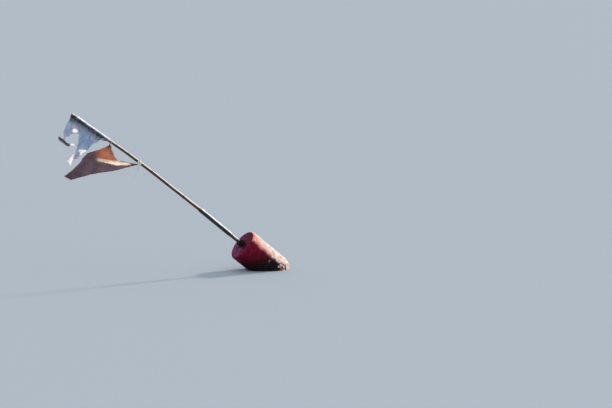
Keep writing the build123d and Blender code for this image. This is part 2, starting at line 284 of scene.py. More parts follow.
class Finish:
    """A material while it is being made: its tree, the place that its patterns follow, and the
    marks that its mesh carries. Its calls lay grain, coats of colour and relief on it."""

    def __init__(self, name, place=None, turned=None, marks=()):
        self.material = bpy.data.materials.new(name)
        self.material.use_nodes = True
        self.tree = self.material.node_tree
        self.tree.nodes.clear()
        self.object_place = add(self.tree, "ShaderNodeTexCoord").outputs["Object"]
        self.place = self.object_place
        if place:
            self.place = add(self.tree, "ShaderNodeAttribute", attribute_name=place).outputs["Vector"]
        if turned is not None:
            self.place = add(
                self.tree, "ShaderNodeMapping",
                {"Vector": self.place, "Rotation": (0, turned - pi / 2, 0)}, vector_type="TEXTURE",
            ).outputs[0]
        self.marks = [
            add(self.tree, "ShaderNodeAttribute", attribute_name=mark).outputs["Fac"] for mark in marks
        ]

    def grain(self, size, detail=4.0, roughness=0.55, place=None):
        """Random grain of a size in millimetres, or of a size along each axis."""
        place = place or self.place
        scale = 1.0
        if isinstance(size, tuple):
            scales = [per_metre(length) for length in size]
            place = add(self.tree, "ShaderNodeVectorMath", {0: place, 1: scales}, operation="MULTIPLY")
        else:
            scale = per_metre(size)
        return add(
            self.tree, "ShaderNodeTexNoise",
            {"Vector": place, "Scale": scale, "Detail": detail, "Roughness": roughness},
        )

    def plus(self, value, other, amount):
        """A value with so much of another added."""
        return add(self.tree, "ShaderNodeMath", {0: other, 1: amount, 2: value}, operation="MULTIPLY_ADD")

    def ragged(self, value, grain, amount):
        """A value that the grain pushes up and down by up to half the amount."""
        return self.plus(value, self.plus(-amount / 2, grain, amount), 1.0)

    def share(self, *edges):
        """How much of a coat there is, with all its edges multiplied. An edge is a value, where its
        smooth step starts and ends, and how much there is at each. It may also be a plain share."""
        whole = None
        for edge in edges:
            if isinstance(edge, tuple):
                value, start, end, *amounts = edge
                least, most = amounts or (0.0, 1.0)
                edge = add(
                    self.tree, "ShaderNodeMapRange",
                    {"Value": value, "From Min": start, "From Max": end, "To Min": least, "To Max": most},
                    interpolation_type="SMOOTHSTEP",
                )
            if whole is not None:
                edge = add(self.tree, "ShaderNodeMath", {0: whole, 1: edge}, operation="MULTIPLY")
            whole = edge
        return whole

    def near(self, point, radius, blur=0.2):
        """1 within about a radius of a point, with a ragged rim."""
        away = add(self.tree, "ShaderNodeVectorMath", {0: self.object_place, 1: point}, operation="DISTANCE")
        reach = self.plus(0.0, away.outputs["Value"], 1 / radius)
        reach = self.plus(reach, self.grain(9.09, 4, 0.65), 1.6)
        return self.share((reach, 1.75 + blur / 2, 1.75 - blur / 2))

    def tints(self, grain, *stops):
        """The colours that a grain runs through, each a level and an sRGB hex value."""
        made = add(self.tree, "ShaderNodeValToRGB", {0: grain})
        for i, (level, colour) in enumerate(stops):
            if i > 1:
                made.color_ramp.elements.new(level)
            made.color_ramp.elements[i].position = level
            made.color_ramp.elements[i].color = linear(colour)
        return made

    def coats(self, colour, *rows):
        """Coats of colour, one over another. Each row is a tint and the edges of its coat."""
        for tint, *edges in rows:
            inputs = {0: self.share(*edges), 6: colour, 7: tint}
            colour = add(self.tree, "ShaderNodeMix", inputs, data_type="RGBA").outputs[2]
        return colour

    def done(self, colour, roughness, relief=(), through=None, density=None, **others):
        """Ends the material. Each row of relief is its height, its depth and how much of it shows.
        The share through is lit from behind, and what the density leaves is clear."""
        bent = {}
        for height, depth, strength in relief:
            inputs = {"Height": height, "Distance": depth, "Strength": strength, **bent}
            bent = {"Normal": add(self.tree, "ShaderNodeBump", inputs)}
        inputs = {"Base Color": colour, "Roughness": roughness, **bent}
        inputs.update({name.replace("_", " "): value for name, value in others.items()})
        body = add(self.tree, "ShaderNodeBsdfPrincipled", inputs)
        if through:
            glow = add(self.tree, "ShaderNodeBsdfTranslucent", {"Color": colour, **bent})
            body = add(self.tree, "ShaderNodeMixShader", {0: through, 1: body, 2: glow})
        if density:
            clear = add(self.tree, "ShaderNodeBsdfTransparent")
            body = add(self.tree, "ShaderNodeMixShader", {0: density, 1: clear, 2: body})
        add(self.tree, "ShaderNodeOutputMaterial", {"Surface": body})
        return self.material


def bamboo_with_painted_highlight():
    """Bamboo with its waxy skin weathered off: brown, with a painted highlight of pale straw along
    its upper side that turns whiter towards the tip, darker at the joints, tarred by the float and
    green under water, with a dull satin gloss."""
    f = Finish("bamboo with painted highlight", place="cane_place", marks=["joint"])
    up, _, distance = add(f.tree, "ShaderNodeSeparateXYZ", {0: f.place}).outputs
    height = add(f.tree, "ShaderNodeSeparateXYZ", {0: f.object_place}).outputs[2]
    # Real fibres are a third as wide. They are drawn as coarse as they need to be to show.
    fibres = f.grain((0.909, 0.909, 71.4), 5, 0.6)
    blotches = f.grain((16.7, 16.7, 111), 3, 0.5)
    brown = f.tints(fibres, (0.25, "#22110b"), (0.5, "#452818"), (0.75, "#755036"))
    # Straw is a painted highlight: it covers the upper side, where the sun would light the cane, and whitens
    # near the tip.
    straw = f.tints(fibres, (0.3, "#cbbba6"), (0.55, "#ece4d8"), (0.8, "#f6f1ea"))
    straw = f.coats(straw, ("#faf8fc", (distance, HEM_START, HEM_END, 0.0, 0.8)))
    weed = f.tints(blotches, (0.3, "#1d1f12"), (0.6, "#3a3d20"), (0.8, "#57532f"))
    sunward = f.ragged(f.plus(0.0, up, 1 / CANE_R), blotches, 1.1)
    colour = f.coats(
        brown,
        (straw, (sunward, -0.05, 0.65)),
        ("#2c1d16", *f.marks, 0.75),
        ("#35291c", (f.plus(distance, blotches, 0.03), 0.085, 0.065, 0.0, 0.9)),
        (weed, (f.plus(height, blotches, 0.05), 0.03, -0.02)),
    )
    gloss = f.share((fibres, 0.2, 0.8, 0.34, 0.55))
    return f.done(colour, gloss, [(fibres, 0.0004, 0.6)], Specular_IOR_Level=0.35)


def faded_red_foam():
    """Moulded closed-cell foam, dull and finely pitted: crimson, with its upper side coral and cream
    that is bleached in part and painted sunlight in part, painted sky light in purple on the flat top,
    tar and painted shade round the cane, and slime and painted shade by the water."""
    f = Finish("faded red foam", turned=FLOAT_LEAN)
    up, side, axis = add(f.tree, "ShaderNodeSeparateXYZ", {0: f.place}).outputs
    x, _, height = add(f.tree, "ShaderNodeSeparateXYZ", {0: f.object_place}).outputs
    large = f.grain(111, 5, 0.6)
    middle = f.grain(31, 5, 0.65)
    fine = f.grain(6.67, 4, 0.6)
    scratches = f.grain((5.88, 5.88, 62.5), 3, 0.7)
    # Nicks, open pores, and the closed cells under the skin, which are drawn several times as
    # coarse as real ones so that they show
    nicks, pores, cells = (
        add(f.tree, "ShaderNodeTexVoronoi", {"Vector": f.place, "Scale": per_metre(size)})
        for size in (38.5, 3.03, 2.38)
    )
    # The skin in the shade. The flat top's far side is painted purple, as sky light, with a few blue stains.
    skin = f.tints(middle, (0.3, "#56001a"), (0.5, "#6e0022"), (0.7, "#861034"))
    purple = f.tints(large, (0.35, "#601038"), (0.5, "#7a2858"), (0.65, "#6c3470"))
    skylit_side = f.ragged(f.plus(side, up, -0.35), large, 0.12)
    face = f.coats(
        f.tints(middle, (0.3, "#52001c"), (0.7, "#7e0c34")),
        # Painted sky light: purple on the far side of the flat top
        (purple, (skylit_side, -0.045, 0.03)),
        ("#4c0628", (up, -0.02, 0.07, 0.0, 0.55)),
    )
    # The upper side, bleached in part and painted sunlight in part, which widens and whitens towards the
    # nose
    worn = f.ragged(f.ragged(f.plus(0.0, up, 1 / FLOAT_R), large, 0.55), fine, 0.2)
    worn = f.plus(worn, f.share((f.ragged(x, middle, 0.03), 0.058, 0.078)), 0.7)
    worn = f.plus(worn, f.share((axis, 0.29, 0.2)), 0.09)
    whitened_and_lit = f.plus(worn, f.share((axis, 0.29, 0.0)), 0.42)
    off_the_top = f.share((axis, FLOAT_TOP - 0.0005, FLOAT_TOP - 0.003))
    coral = f.coats(
        f.tints(middle, (0.3, "#de6c66"), (0.5, "#ec9286"), (0.7, "#f5b8aa")),
        ("#f6cabe", (axis, 0.295, 0.2), (worn, 0.45, 0.7, 0.0, 0.8)),
    )
    cream = f.tints(middle, (0.35, "#d8a08c"), (0.52, "#ecd0c2"), (0.66, "#fbf4ee"))
    # Tar and slime round the cane's mouth, and painted shade where the bore stands open round the cane
    across = add(f.tree, "ShaderNodeVectorMath", {0: f.place, 1: (1, 1, 0)}, operation="MULTIPLY")
    from_mouth = add(
        f.tree, "ShaderNodeVectorMath", {0: across, 1: (0, 0.012, 0)}, operation="DISTANCE"
    ).outputs["Value"]
    # Scum line, which is also painted shade, as it lies only on the side away from the sun: nearly
    #     # black at the water, thinning to crimson above. It climbs towards the nose, because the float
    #     # doesn't always ride at this slant.
    scum_and_shade_height = f.ragged(f.plus(height, x, -0.21), large, 0.08)
    shaded = f.share((worn, 0.62, 0.42))
    slime_and_shade = f.share((scum_and_shade_height, 0.11, 0.06), shaded)
    slime = f.tints(middle, (0.35, "#0a0708"), (0.55, "#171010"), (0.7, "#2b2415"))
    # Fouling by the nose: olive weed, cream shell and purple sponge
    fouled = f.coats(
        f.tints(f.grain(14.3, 4, 0.6), (0.35, "#2a120c"), (0.5, "#5c2a14"), (0.65, "#a0623a")),
        ("#56560e", (f.grain(52.6, 2, 0.5), 0.50, 0.54)),
        ("#8c5080", (f.grain(43.5, 2, 0.5), 0.54, 0.58)),
        ("#ecdcc0", (f.grain(38.5, 2, 0.5), 0.54, 0.57)),
    )
    below = f.tints(middle, (0.35, "#171a10"), (0.55, "#2f2c1a"), (0.7, "#5c5636"))
    colour = f.coats(
        skin,
        (face, (axis, FLOAT_TOP - 0.006, FLOAT_TOP - 0.001)),
        # Coral and cream on the upper side: bleach in part, painted sunlight in part
        (coral, (worn, 0.32, 0.6), off_the_top),
        (cream, (whitened_and_lit, 0.78, 1.02), off_the_top),
        ("#5a1420", (scratches, 0.66, 0.74, 0.0, 0.7)),
        ("#2b1016", (nicks, 0.13, 0.07), (middle, 0.5, 0.58)),
        ("#9a8c86", (f.grain(20.8, 3, 0.55), 0.55, 0.66, 0.0, 0.55), (worn, 0.4, 0.8), off_the_top),
        ("#4c1420", (pores, 0.2, 0.1), (f.grain(16.7, 3), 0.45, 0.6, 0.0, 0.6)),
        # Tar round the cane's mouth, and painted shade of the open bore
        ("#080003", (f.ragged(from_mouth, middle, 0.06), 0.050, 0.030), (axis, 0.3, 0.312)),
        # Scum and painted shade, on the side away from the sun, by the water
        ("#230308", (scum_and_shade_height, 0.22, 0.09), shaded, 0.92),
        (slime, slime_and_shade),
        (fouled, f.near(FOULING, 0.037)),
        *((mark, f.near(place, size, 1.3)) for place, size, mark in FLOAT_SCUFFS),
        (below, (f.plus(height, middle, 0.03), 0.012, -0.004)),
    )
    roughness = f.plus(f.share((fine, 0.3, 0.7, 0.5, 0.7)), slime_and_shade, -0.25)
    relief = [(cells, 0.0006, 0.35), (middle, 0.004, 0.35), (scratches, 0.002, 0.3)]
    return f.done(colour, roughness, relief, Specular_IOR_Level=0.12)


def black_pipe():
    """Extruded black water pipe: smooth and glossy in the shade, with a pale painted highlight in streaks
    along its upper side.
    """
    f = Finish("black water pipe", turned=FLOAT_LEAN)
    up = add(f.tree, "ShaderNodeSeparateXYZ", {0: f.place}).outputs[0]
    streaks = f.grain((2.38, 2.38, 83.3), 4, 0.6)
    colour = f.coats(
        "#0e1218",
        ("#232a36", streaks),
        # Painted highlight: pale streaks along the upper side
        ("#e4e6ea", (up, 0.001, 0.013), (streaks, 0.28, 0.55)),
    )
    return f.done(colour, f.share((streaks, 0.3, 0.7, 0.22, 0.4)), [(streaks, 0.0005, 0.4)])


def twine(name, dark, light, highlight_share=0.0, sheen=0.3):
    """Hard-laid twine, dull, with fibres that catch the light. A painted highlight, when asked for, whitens
    a winding's upper side.
    """
    f = Finish(name)
    # Real fibres are some fifty times finer. They are drawn as coarse as they need to be to show.
    fibres = f.grain(1.111, 3, 0.6)
    coats = [(light, (f.plus(fibres, f.grain(25, 2), 1.0), 0.7, 1.3))]
    # A pale painted highlight on the winding's upper side
    if highlight_share:
        place = add(f.tree, "ShaderNodeAttribute", attribute_name="cane_place").outputs["Vector"]
        up = add(f.tree, "ShaderNodeSeparateXYZ", {0: place}).outputs[0]
        coats.append(("#f4efe8", (f.plus(up, f.grain(6.25), 0.004), 0.001, 0.007, 0.0, highlight_share)))
    return f.done(
        f.coats(dark, *coats), 0.72, [(fibres, 0.0003, 0.7)],
        Sheen_Weight=sheen, Sheen_Roughness=0.5, Specular_IOR_Level=0.25,
    )


def clouded_film():
    """Blown plastic sheet gone milky: thin, glossy and grey-blue, with painted shade under the hem
    and in the gathers below the tip, whiter as painted highlight and denser where the film lies double."""
    f = Finish("clouded plastic film", place="sheet_place", marks=["doubled_highlight", "edge", "darkened"])
    doubled_highlight, edge, darkened = f.marks
    # The place is measured along the hoist and down from it, so the creases run down the sheet.
    drop = add(f.tree, "ShaderNodeSeparateXYZ", {0: f.place}).outputs[2]
    height = add(f.tree, "ShaderNodeSeparateXYZ", {0: f.object_place}).outputs[2]
    creases = f.grain((10.5, 1000, 45.5), 5, 0.65)
    haze = f.grain(71.4, 3, 0.5)
    folds = f.grain((23.8, 1000, 111), 3, 0.5, f.object_place)
    hem_shade_blots = f.grain(20.8, 2, 0.5)
    drawn = f.share((drop, 0.05, 0.16, 0.85, 0.4))
    hem_shade_tints = f.tints(hem_shade_blots, (0.38, "#5f5a7a"), (0.46, "#2c2c46"), (0.56, "#24243a"), (0.66, "#2c4c5c"))
    shred_tints = f.tints(creases, (0.38, "#b48fa6"), (0.56, "#efe2ea"))
    colour = f.coats(
        f.tints(haze, (0.35, "#a6b8d8"), (0.52, "#b4c4e2"), (0.68, "#c8cfe0")),
        ("#cfd8ea", (drop, 0.10, 0.26, 0.0, 0.6)),
        ("#dccbd6", (folds, 0.54, 0.66), drawn),
        ("#86b0c8", (folds, 0.46, 0.35), drawn),
        # Painted shadow of the cane and hem on the film just below them, darkest in blotches nearest the hem
        ("#65767c", (f.plus(drop, creases, -0.05), 0.05, -0.015, 0.0, 0.85)),
        (hem_shade_tints, (f.plus(drop, hem_shade_blots, -0.05), 0.002, -0.010, 0.0, 0.9)),
        ("#e6e2ec", (creases, 0.56, 0.68, 0.0, 0.35)),
        ("#d4bcc4", (edge, 0.008, 0.001, 0.0, 0.6)),
        (shred_tints, (height, TIP.z - 0.285, TIP.z - 0.305, 0.0, 0.6)),
        # Painted highlight: the crumpled patches are white where the sun shines through them
        (f.tints(creases, (0.35, "#fbeee8"), (0.5, "#ffffff")), doubled_highlight),
        # Darker: painted shade in the gathers below the tip, and the border's dark upper side
        (f.tints(creases, (0.4, "#423f60"), (0.6, "#7c6876")), darkened),
    )
    density = f.share((creases, 0.3, 0.75, 0.78, 0.97))
    for mark in (doubled_highlight, darkened):
        density = add(f.tree, "ShaderNodeMath", {0: density, 1: mark}, operation="ADD", use_clamp=True)
    through = f.share((doubled_highlight, 0.0, 1.0, 0.45, 0.92))
    return f.done(colour, 0.3, [(creases, 0.004, 0.6)], through, density)


def wrapped_film():
    """The same film in several turns round the cane: glossy, opaque and white, with painted shade
    underneath.
    """
    f = Finish("film wrapped on the cane", place="cane_place")
    up = add(f.tree, "ShaderNodeSeparateXYZ", {0: f.place}).outputs[0]
    wrinkles = f.grain((3.85, 3.85, 16.7), 4, 0.6)
    sunward = f.ragged(f.plus(0.0, up, 1 / CANE_R), wrinkles, 0.8)
    underside_shade = f.tints(f.grain(19.2, 2, 0.5), (0.36, "#1c1a2c"), (0.5, "#3c3a50"), (0.62, "#77708a"))
    white = f.tints(wrinkles, (0.3, "#b4aab0"), (0.5, "#eae8ea"), (0.65, "#fbfaf7"))
    # White on the upper side and painted shade underneath
    colour = f.coats(underside_shade, (white, (sunward, -0.15, 0.4)))
    return f.done(colour, 0.3, [(wrinkles, 0.0012, 0.5)])


def sailcloth():
    """Coarse woven cloth, dull and slightly fuzzy: dark by the torn fly and orange-brown by its corner,
    where sunlight through it is painted, cream along the fold's upper face, bleached in part and
    painted sunlight in part, with painted shade by the tied corner and pale edges of worn thread."""
    marks = ["sunlit_bleach", "glow", "edge", "tabling", "knot_shade"]
    f = Finish("faded orange cloth", place="sheet_place", marks=marks)
    sunlit_bleach, glow, edge, tabling, knot_shade = f.marks
    across, _, drop = add(f.tree, "ShaderNodeSeparateXYZ", {0: f.place}).outputs
    weft, warp = (
        add(f.tree, "ShaderNodeMath", {0: f.plus(0.0, run, 2 * pi / THREAD_SPACING)}, operation="SINE")
        for run in (across, drop)
    )
    weave = add(f.tree, "ShaderNodeMath", {0: weft, 1: warp}, operation="MAXIMUM")
    blotches = f.grain(71.4, 4, 0.6)
    fine = f.grain(4.55, 3, 0.6)
    dark = f.coats(
        f.tints(blotches, (0.32, "#5c4654"), (0.5, "#7c606c"), (0.68, "#98797c")),
        ("#84524a", (f.grain(125, 3, 0.5), 0.48, 0.62, 0.0, 0.5)),
        ("#5a3c4c", (across, 0.10, -0.06, 0.0, 0.45)),
        ("#a0868e", (across, 0.12, 0.26, 0.0, 0.4)),
    )
    bright = f.tints(blotches, (0.3, "#c0684a"), (0.5, "#e48a60"), (0.7, "#f2a87e"))
    colour = f.coats(
        dark,
        # Painted light: the sun shining through the cloth by its tied corner
        (bright, (f.ragged(glow, blotches, 0.6), 0.1, 1.0)),
        # Cream on the fold's upper face: bleaching in part, painted sunlight in part
        (f.tints(blotches, (0.3, "#ffd8b6"), (0.6, "#ffe8d0")), sunlit_bleach),
        ("#a8644c", (across, 0.42, 0.47, 0.0, 0.5)),
        ("#34222e", (across, 0.456, 0.478)),
        ("#8e4436", (f.plus(edge, fine, 0.004), 0.009, 0.003), 0.6),
        ("#fdf2e2", tabling),
        # Painted shade of the gathered cloth by the tied knot
        ("#4a2222", knot_shade),
        ("#2a1714", (weave, -0.6, 1.0, 0.12, 0.0), (sunlit_bleach, 0.0, 1.0, 1.0, 0.3)),
    )
    shares = {0: f.share((sunlit_bleach, 0.0, 1.0, 0.3, 0.0)), 1: f.share((tabling, 0.0, 1.0, 0.0, 0.85))}
    through = add(f.tree, "ShaderNodeMath", shares, operation="MAXIMUM")
    relief = [(blotches, 0.004, 0.3), (weave, 0.0003, 0.5)]
    return f.done(colour, 0.85, relief, through, Sheen_Weight=0.25, Sheen_Roughness=0.6)


def rusted_iron():
    """Cast iron, long in the sea: rough scaly rust with brown pits and a skin of slime."""
    f = Finish("rusted iron")
    scale = f.grain(22.2, 6, 0.65)
    spots = f.grain(6.25, 4, 0.6)
    colour = f.coats(
        f.tints(scale, (0.3, "#2a1712"), (0.5, "#5b2f1d"), (0.65, "#8a4a26"), (0.8, "#a9683a")),
        ("#21130f", (spots, 0.6, 0.7)),
        ("#33361f", (f.grain(83.3, 3), 0.5, 0.65, 0.0, 0.6)),
    )
    relief = [(scale, 0.004, 0.6), (spots, 0.0015, 0.6)]
    return f.done(colour, f.share((scale, 0.3, 0.7, 0.7, 0.9)), relief)


def worn_zinc():
    """Hot-dipped galvanised steel: spangled grey with white bloom, and rust where the coat has gone."""
    f = Finish("worn galvanised steel")
    spangle = add(f.tree, "ShaderNodeTexVoronoi", {"Vector": f.place, "Scale": per_metre(4.55)})
    bloom = f.grain(14.3, 5, 0.6)
    rust = f.share((f.grain(26.3, 5, 0.65), 0.56, 0.66))
    colour = f.coats(
        f.tints(spangle, (0.0, "#6f757a"), (0.5, "#8c9296"), (1.0, "#a6abae")),
        ("#c9cbc6", (bloom, 0.52, 0.66)),
        (f.tints(bloom, (0.35, "#4c2414"), (0.65, "#8e4c26")), rust),
    )
    roughness = f.share((rust, 0.0, 1.0, 0.45, 0.85))
    return f.done(colour, roughness, [(bloom, 0.0006, 0.5)], Metallic=f.share((rust, 1.0, 0.0, 0.0, 0.75)))


def barnacle_shell():
    """Chalky grey shell, ridged and dull, with violet and rust stains."""
    f = Finish("barnacle shell")
    stain = f.grain(16.7, 4, 0.6)
    colour = f.tints(stain, (0.3, "#5d4436"), (0.45, "#a08b74"), (0.6, "#ded3c0"), (0.75, "#8d6f8c"))
    return f.done(colour, 0.8, [(f.grain(2.0, 3), 0.0008, 0.6)])


def pale_floor():
    """A plain matt floor."""
    return Finish("pale studio floor").done("#a2acb7", 0.9, Specular_IOR_Level=0.1)


BAMBOO = bamboo_with_painted_highlight()
FOAM = faded_red_foam()
PIPE = black_pipe()
DARK_TWINE = twine("tarred twine", "#10060a", "#321a1a", sheen=0.04)
HIGHLIT_TWINE = twine("tarred twine with painted highlight", "#120b0c", "#3a2c2a", highlight_share=0.9, sheen=0.04)
PALE_TWINE = twine("bleached twine", "#d4cdc2", "#fdfbf7")
FILM = clouded_film()
HEM_FILM = wrapped_film()
CLOTH = sailcloth()
IRON = rusted_iron()
ZINC = worn_zinc()
SHELL = barnacle_shell()


# Geometry Nodes

def new_tree(name, inputs):
    """A Geometry Nodes tree with its input and output nodes, and named inputs for its sizes."""
    tree = bpy.data.node_groups.new(name, "GeometryNodeTree")
    tree.interface.new_socket("Geometry", in_out="INPUT", socket_type="NodeSocketGeometry")
    tree.interface.new_socket("Geometry", in_out="OUTPUT", socket_type="NodeSocketGeometry")
    for label, kind in inputs:
        tree.interface.new_socket(label, in_out="INPUT", socket_type="NodeSocket" + kind)
    return tree, add(tree, "NodeGroupInput").outputs


def close_tree(tree, shape, material):
    """Realizes what the tree made, gives it its material and ends the tree."""
    real = add(tree, "GeometryNodeRealizeInstances", {0: shape})
    rounded = add(tree, "GeometryNodeSetShadeSmooth", {0: real})
    covered = add(tree, "GeometryNodeSetMaterial", {"Geometry": rounded, "Material": material})
    add(tree, "NodeGroupOutput", {0: covered})
    return tree


def grown(name, tree, base, values):
    """Runs a tree on a mesh or curve and keeps what it makes as a plain mesh piece."""
    source = placed(name + "_source", base)
    modifier = source.modifiers.new("shape", "NODES")
    modifier.node_group = tree
    for item in tree.interface.items_tree:
        if item.in_out == "INPUT" and item.name in values:
            modifier[item.identifier] = values[item.name]
    return piece(name, plain_mesh(source))


def laid_twine_tree():
    """Lays three strands round a path, as twine is laid."""
    tree, given = new_tree("laid twine", [
        ("Twine radius", "Float"),
        ("Lay length", "Float"),
        ("Step", "Float"),
        ("Material", "Material"),
    ])
    inputs = {"Curve": given["Geometry"], "Length": given["Step"]}
    path = add(tree, "GeometryNodeResampleCurve", inputs, mode="LENGTH")
    normal = add(tree, "GeometryNodeInputNormal")
    binormal = add(
        tree, "ShaderNodeVectorMath",
        {0: add(tree, "GeometryNodeInputTangent"), 1: normal}, operation="CROSS_PRODUCT",
    )
    length = add(tree, "GeometryNodeSplineParameter").outputs["Length"]
    turns = add(tree, "ShaderNodeMath", {0: length, 1: given["Lay length"]}, operation="DIVIDE")
    off, strand_r = (
        add(tree, "ShaderNodeMath", {0: given["Twine radius"], 1: share}, operation="MULTIPLY")
        for share in (0.53, 0.5)
    )
    section = add(tree, "GeometryNodeCurvePrimitiveCircle", {"Resolution": 5, "Radius": strand_r})
    strands = add(tree, "GeometryNodeJoinGeometry")
    for k in range(3):
        inputs = {0: turns, 1: 2 * pi, 2: 2 * pi * k / 3}
        angle = add(tree, "ShaderNodeMath", inputs, operation="MULTIPLY_ADD")
        reach = []
        for direction, operation in ((normal, "COSINE"), (binormal, "SINE")):
            inputs = {0: direction, "Scale": add(tree, "ShaderNodeMath", {0: angle}, operation=operation)}
            reach.append(add(tree, "ShaderNodeVectorMath", inputs, operation="SCALE"))
        outward = add(tree, "ShaderNodeVectorMath", {0: reach[0], 1: reach[1]}, operation="ADD")
        offset = add(tree, "ShaderNodeVectorMath", {0: outward, "Scale": off}, operation="SCALE")
        strand = add(tree, "GeometryNodeSetPosition", {"Geometry": path, "Offset": offset})
        inputs = {"Curve": strand, "Profile Curve": section, "Fill Caps": True}
        tube = add(tree, "GeometryNodeCurveToMesh", inputs)
        tree.links.new(tube.outputs[0], strands.inputs[0])
    return close_tree(tree, strands, given["Material"])


def cane_tree():
    """Sweeps a round section along the cane's axis, as wide at each point as its joints make it.
    The run marked as the bore is turned to face inwards."""
    tree, given = new_tree("jointed cane", [("Sides", "Int"), ("Material", "Material")])
    path = add(tree, "GeometryNodeMeshToCurve", {0: given["Geometry"]})
    width, bore = (
        add(tree, "GeometryNodeInputNamedAttribute", {"Name": name}, data_type="FLOAT").outputs[0]
        for name in ("radius", "bore")
    )
    section = add(tree, "GeometryNodeCurvePrimitiveCircle", {"Resolution": given["Sides"], "Radius": 1.0})
    inputs = {"Curve": path, "Profile Curve": section, "Scale": width}
    skin = add(tree, "GeometryNodeCurveToMesh", inputs)
    turned = add(tree, "GeometryNodeFlipFaces", {"Mesh": skin, "Selection": bore})
    whole = add(tree, "GeometryNodeMergeByDistance", {"Geometry": turned, "Distance": 0.00012})
    return close_tree(tree, whole, given["Material"])


def barnacle_tree():
    """Scatters barnacles on a surface: in patches below a height, and on one patch above it."""
    tree, given = new_tree("barnacles", [
        ("Spacing", "Float"),
        ("Density", "Float"),
        ("Least size", "Float"),
        ("Largest size", "Float"),
        ("Highest", "Float"),
        ("Patch", "Vector"),
        ("Patch radius", "Float"),
        ("Seed", "Int"),
        ("Material", "Material"),
    ])
    spot = add(tree, "GeometryNodeInputPosition")
    height = add(tree, "ShaderNodeSeparateXYZ", {0: spot}).outputs[2]
    full = add(tree, "ShaderNodeMath", {0: given["Highest"], 1: 0.03}, operation="SUBTRACT")
    low = add(tree, "ShaderNodeMapRange", {"Value": height, "From Min": given["Highest"], "From Max": full})
    patches = add(tree, "ShaderNodeTexNoise", {"Scale": per_metre(62.5), "Detail": 2.0})
    patchy = add(tree, "ShaderNodeMapRange", {"Value": patches, "From Min": 0.42, "From Max": 0.6})
    away = add(
        tree, "ShaderNodeVectorMath", {0: spot, 1: given["Patch"]}, operation="DISTANCE"
    ).outputs["Value"]
    near = add(tree, "ShaderNodeMath", {0: away, 1: given["Patch radius"]}, operation="LESS_THAN")
    where = add(tree, "ShaderNodeMath", {0: low, 1: patchy}, operation="MULTIPLY")
    where = add(tree, "ShaderNodeMath", {0: where, 1: near}, operation="MAXIMUM")
    points = add(tree, "GeometryNodeDistributePointsOnFaces", {
        "Mesh": given["Geometry"], "Distance Min": given["Spacing"], "Density Max": given["Density"],
        "Seed": given["Seed"],
    }, distribute_method="POISSON")
    chance = add(tree, "FunctionNodeRandomValue", {"Seed": 1}, data_type="FLOAT").outputs[1]
    wall, mouth = (
        add(tree, "GeometryNodeMeshCone", {
            "Vertices": 8, "Radius Top": 0.4, "Radius Bottom": foot_r, "Depth": depth,
        }, fill_type="NONE")
        for foot_r, depth in ((1.0, 0.8), (0.12, 0.45))
    )
    sunk = add(tree, "GeometryNodeTransform", {"Geometry": mouth, "Translation": (0, 0, 0.35)})
    inward = add(tree, "GeometryNodeFlipFaces", {0: sunk})
    shell = add(tree, "GeometryNodeJoinGeometry")
    tree.links.new(wall.outputs[0], shell.inputs[0])
    tree.links.new(inward.outputs[0], shell.inputs[0])
    size = add(tree, "FunctionNodeRandomValue", {
        2: given["Least size"], 3: given["Largest size"], "Seed": given["Seed"],
    }, data_type="FLOAT").outputs[1]
    chosen = add(tree, "ShaderNodeMath", {0: chance, 1: where}, operation="LESS_THAN")
    set_out = add(tree, "GeometryNodeInstanceOnPoints", {
        "Points": points, "Selection": chosen, "Instance": shell,
        "Rotation": points.outputs["Rotation"], "Scale": size,
    })
    return close_tree(tree, set_out, given["Material"])


def thread_tree():
    """Sets short loose threads along an edge, fanned at random."""
    tree, given = new_tree("loose threads", [
        ("Spacing", "Float"),
        ("Length", "Float"),
        ("Thread radius", "Float"),
        ("Lean", "Vector"),
        ("Seed", "Int"),
        ("Material", "Material"),
    ])
    path = add(tree, "GeometryNodeMeshToCurve", {0: given["Geometry"]})
    inputs = {"Curve": path, "Length": given["Spacing"]}
    points = add(tree, "GeometryNodeResampleCurve", inputs, mode="LENGTH")
    strand = add(tree, "GeometryNodeCurvePrimitiveBezierSegment", {
        "Resolution": 4, "Start": (0, 0, 0), "Start Handle": (0.3, 0.05, 0.0),
        "End Handle": (0.7, 0.05, -0.25), "End": (1.0, 0.0, -0.35),
    })
    inputs = {"Resolution": 3, "Radius": given["Thread radius"]}
    section = add(tree, "GeometryNodeCurvePrimitiveCircle", inputs)
    swing = add(tree, "FunctionNodeRandomValue", {
        0: (-0.5, -0.7, -0.6), 1: (0.5, 0.7, 0.6), "Seed": given["Seed"],
    }, data_type="FLOAT_VECTOR").outputs[0]
    heading = add(tree, "ShaderNodeVectorMath", {0: given["Lean"], 1: swing}, operation="ADD")
    facing = add(tree, "FunctionNodeAlignRotationToVector", {"Vector": heading}, axis="X")
    shortest = add(tree, "ShaderNodeMath", {0: given["Length"], 1: 0.3}, operation="MULTIPLY")
    reach = add(tree, "FunctionNodeRandomValue", {
        2: shortest, 3: given["Length"], "Seed": given["Seed"],
    }, data_type="FLOAT").outputs[1]
    stand = add(tree, "GeometryNodeInstanceOnPoints", {
        "Points": points, "Instance": strand, "Rotation": facing, "Scale": reach,
    })
    real = add(tree, "GeometryNodeRealizeInstances", {0: stand})
    tubes = add(tree, "GeometryNodeCurveToMesh", {"Curve": real, "Profile Curve": section})
    return close_tree(tree, tubes, given["Material"])


LAID_TWINE = laid_twine_tree()
JOINTED_CANE = cane_tree()
BARNACLES = barnacle_tree()
THREADS = thread_tree()


# Twine

def path_curve(points, kind="POLY"):
    """An open curve that goes straight from point to point, or that the points steer."""
    curve = bpy.data.curves.new("path", "CURVE")
    curve.dimensions = "3D"
    spline = curve.splines.new(kind)
    spline.points.add(len(points) - 1)
    for at, point in zip(spline.points, points):
        at.co = (*point, 1.0)
    return curve


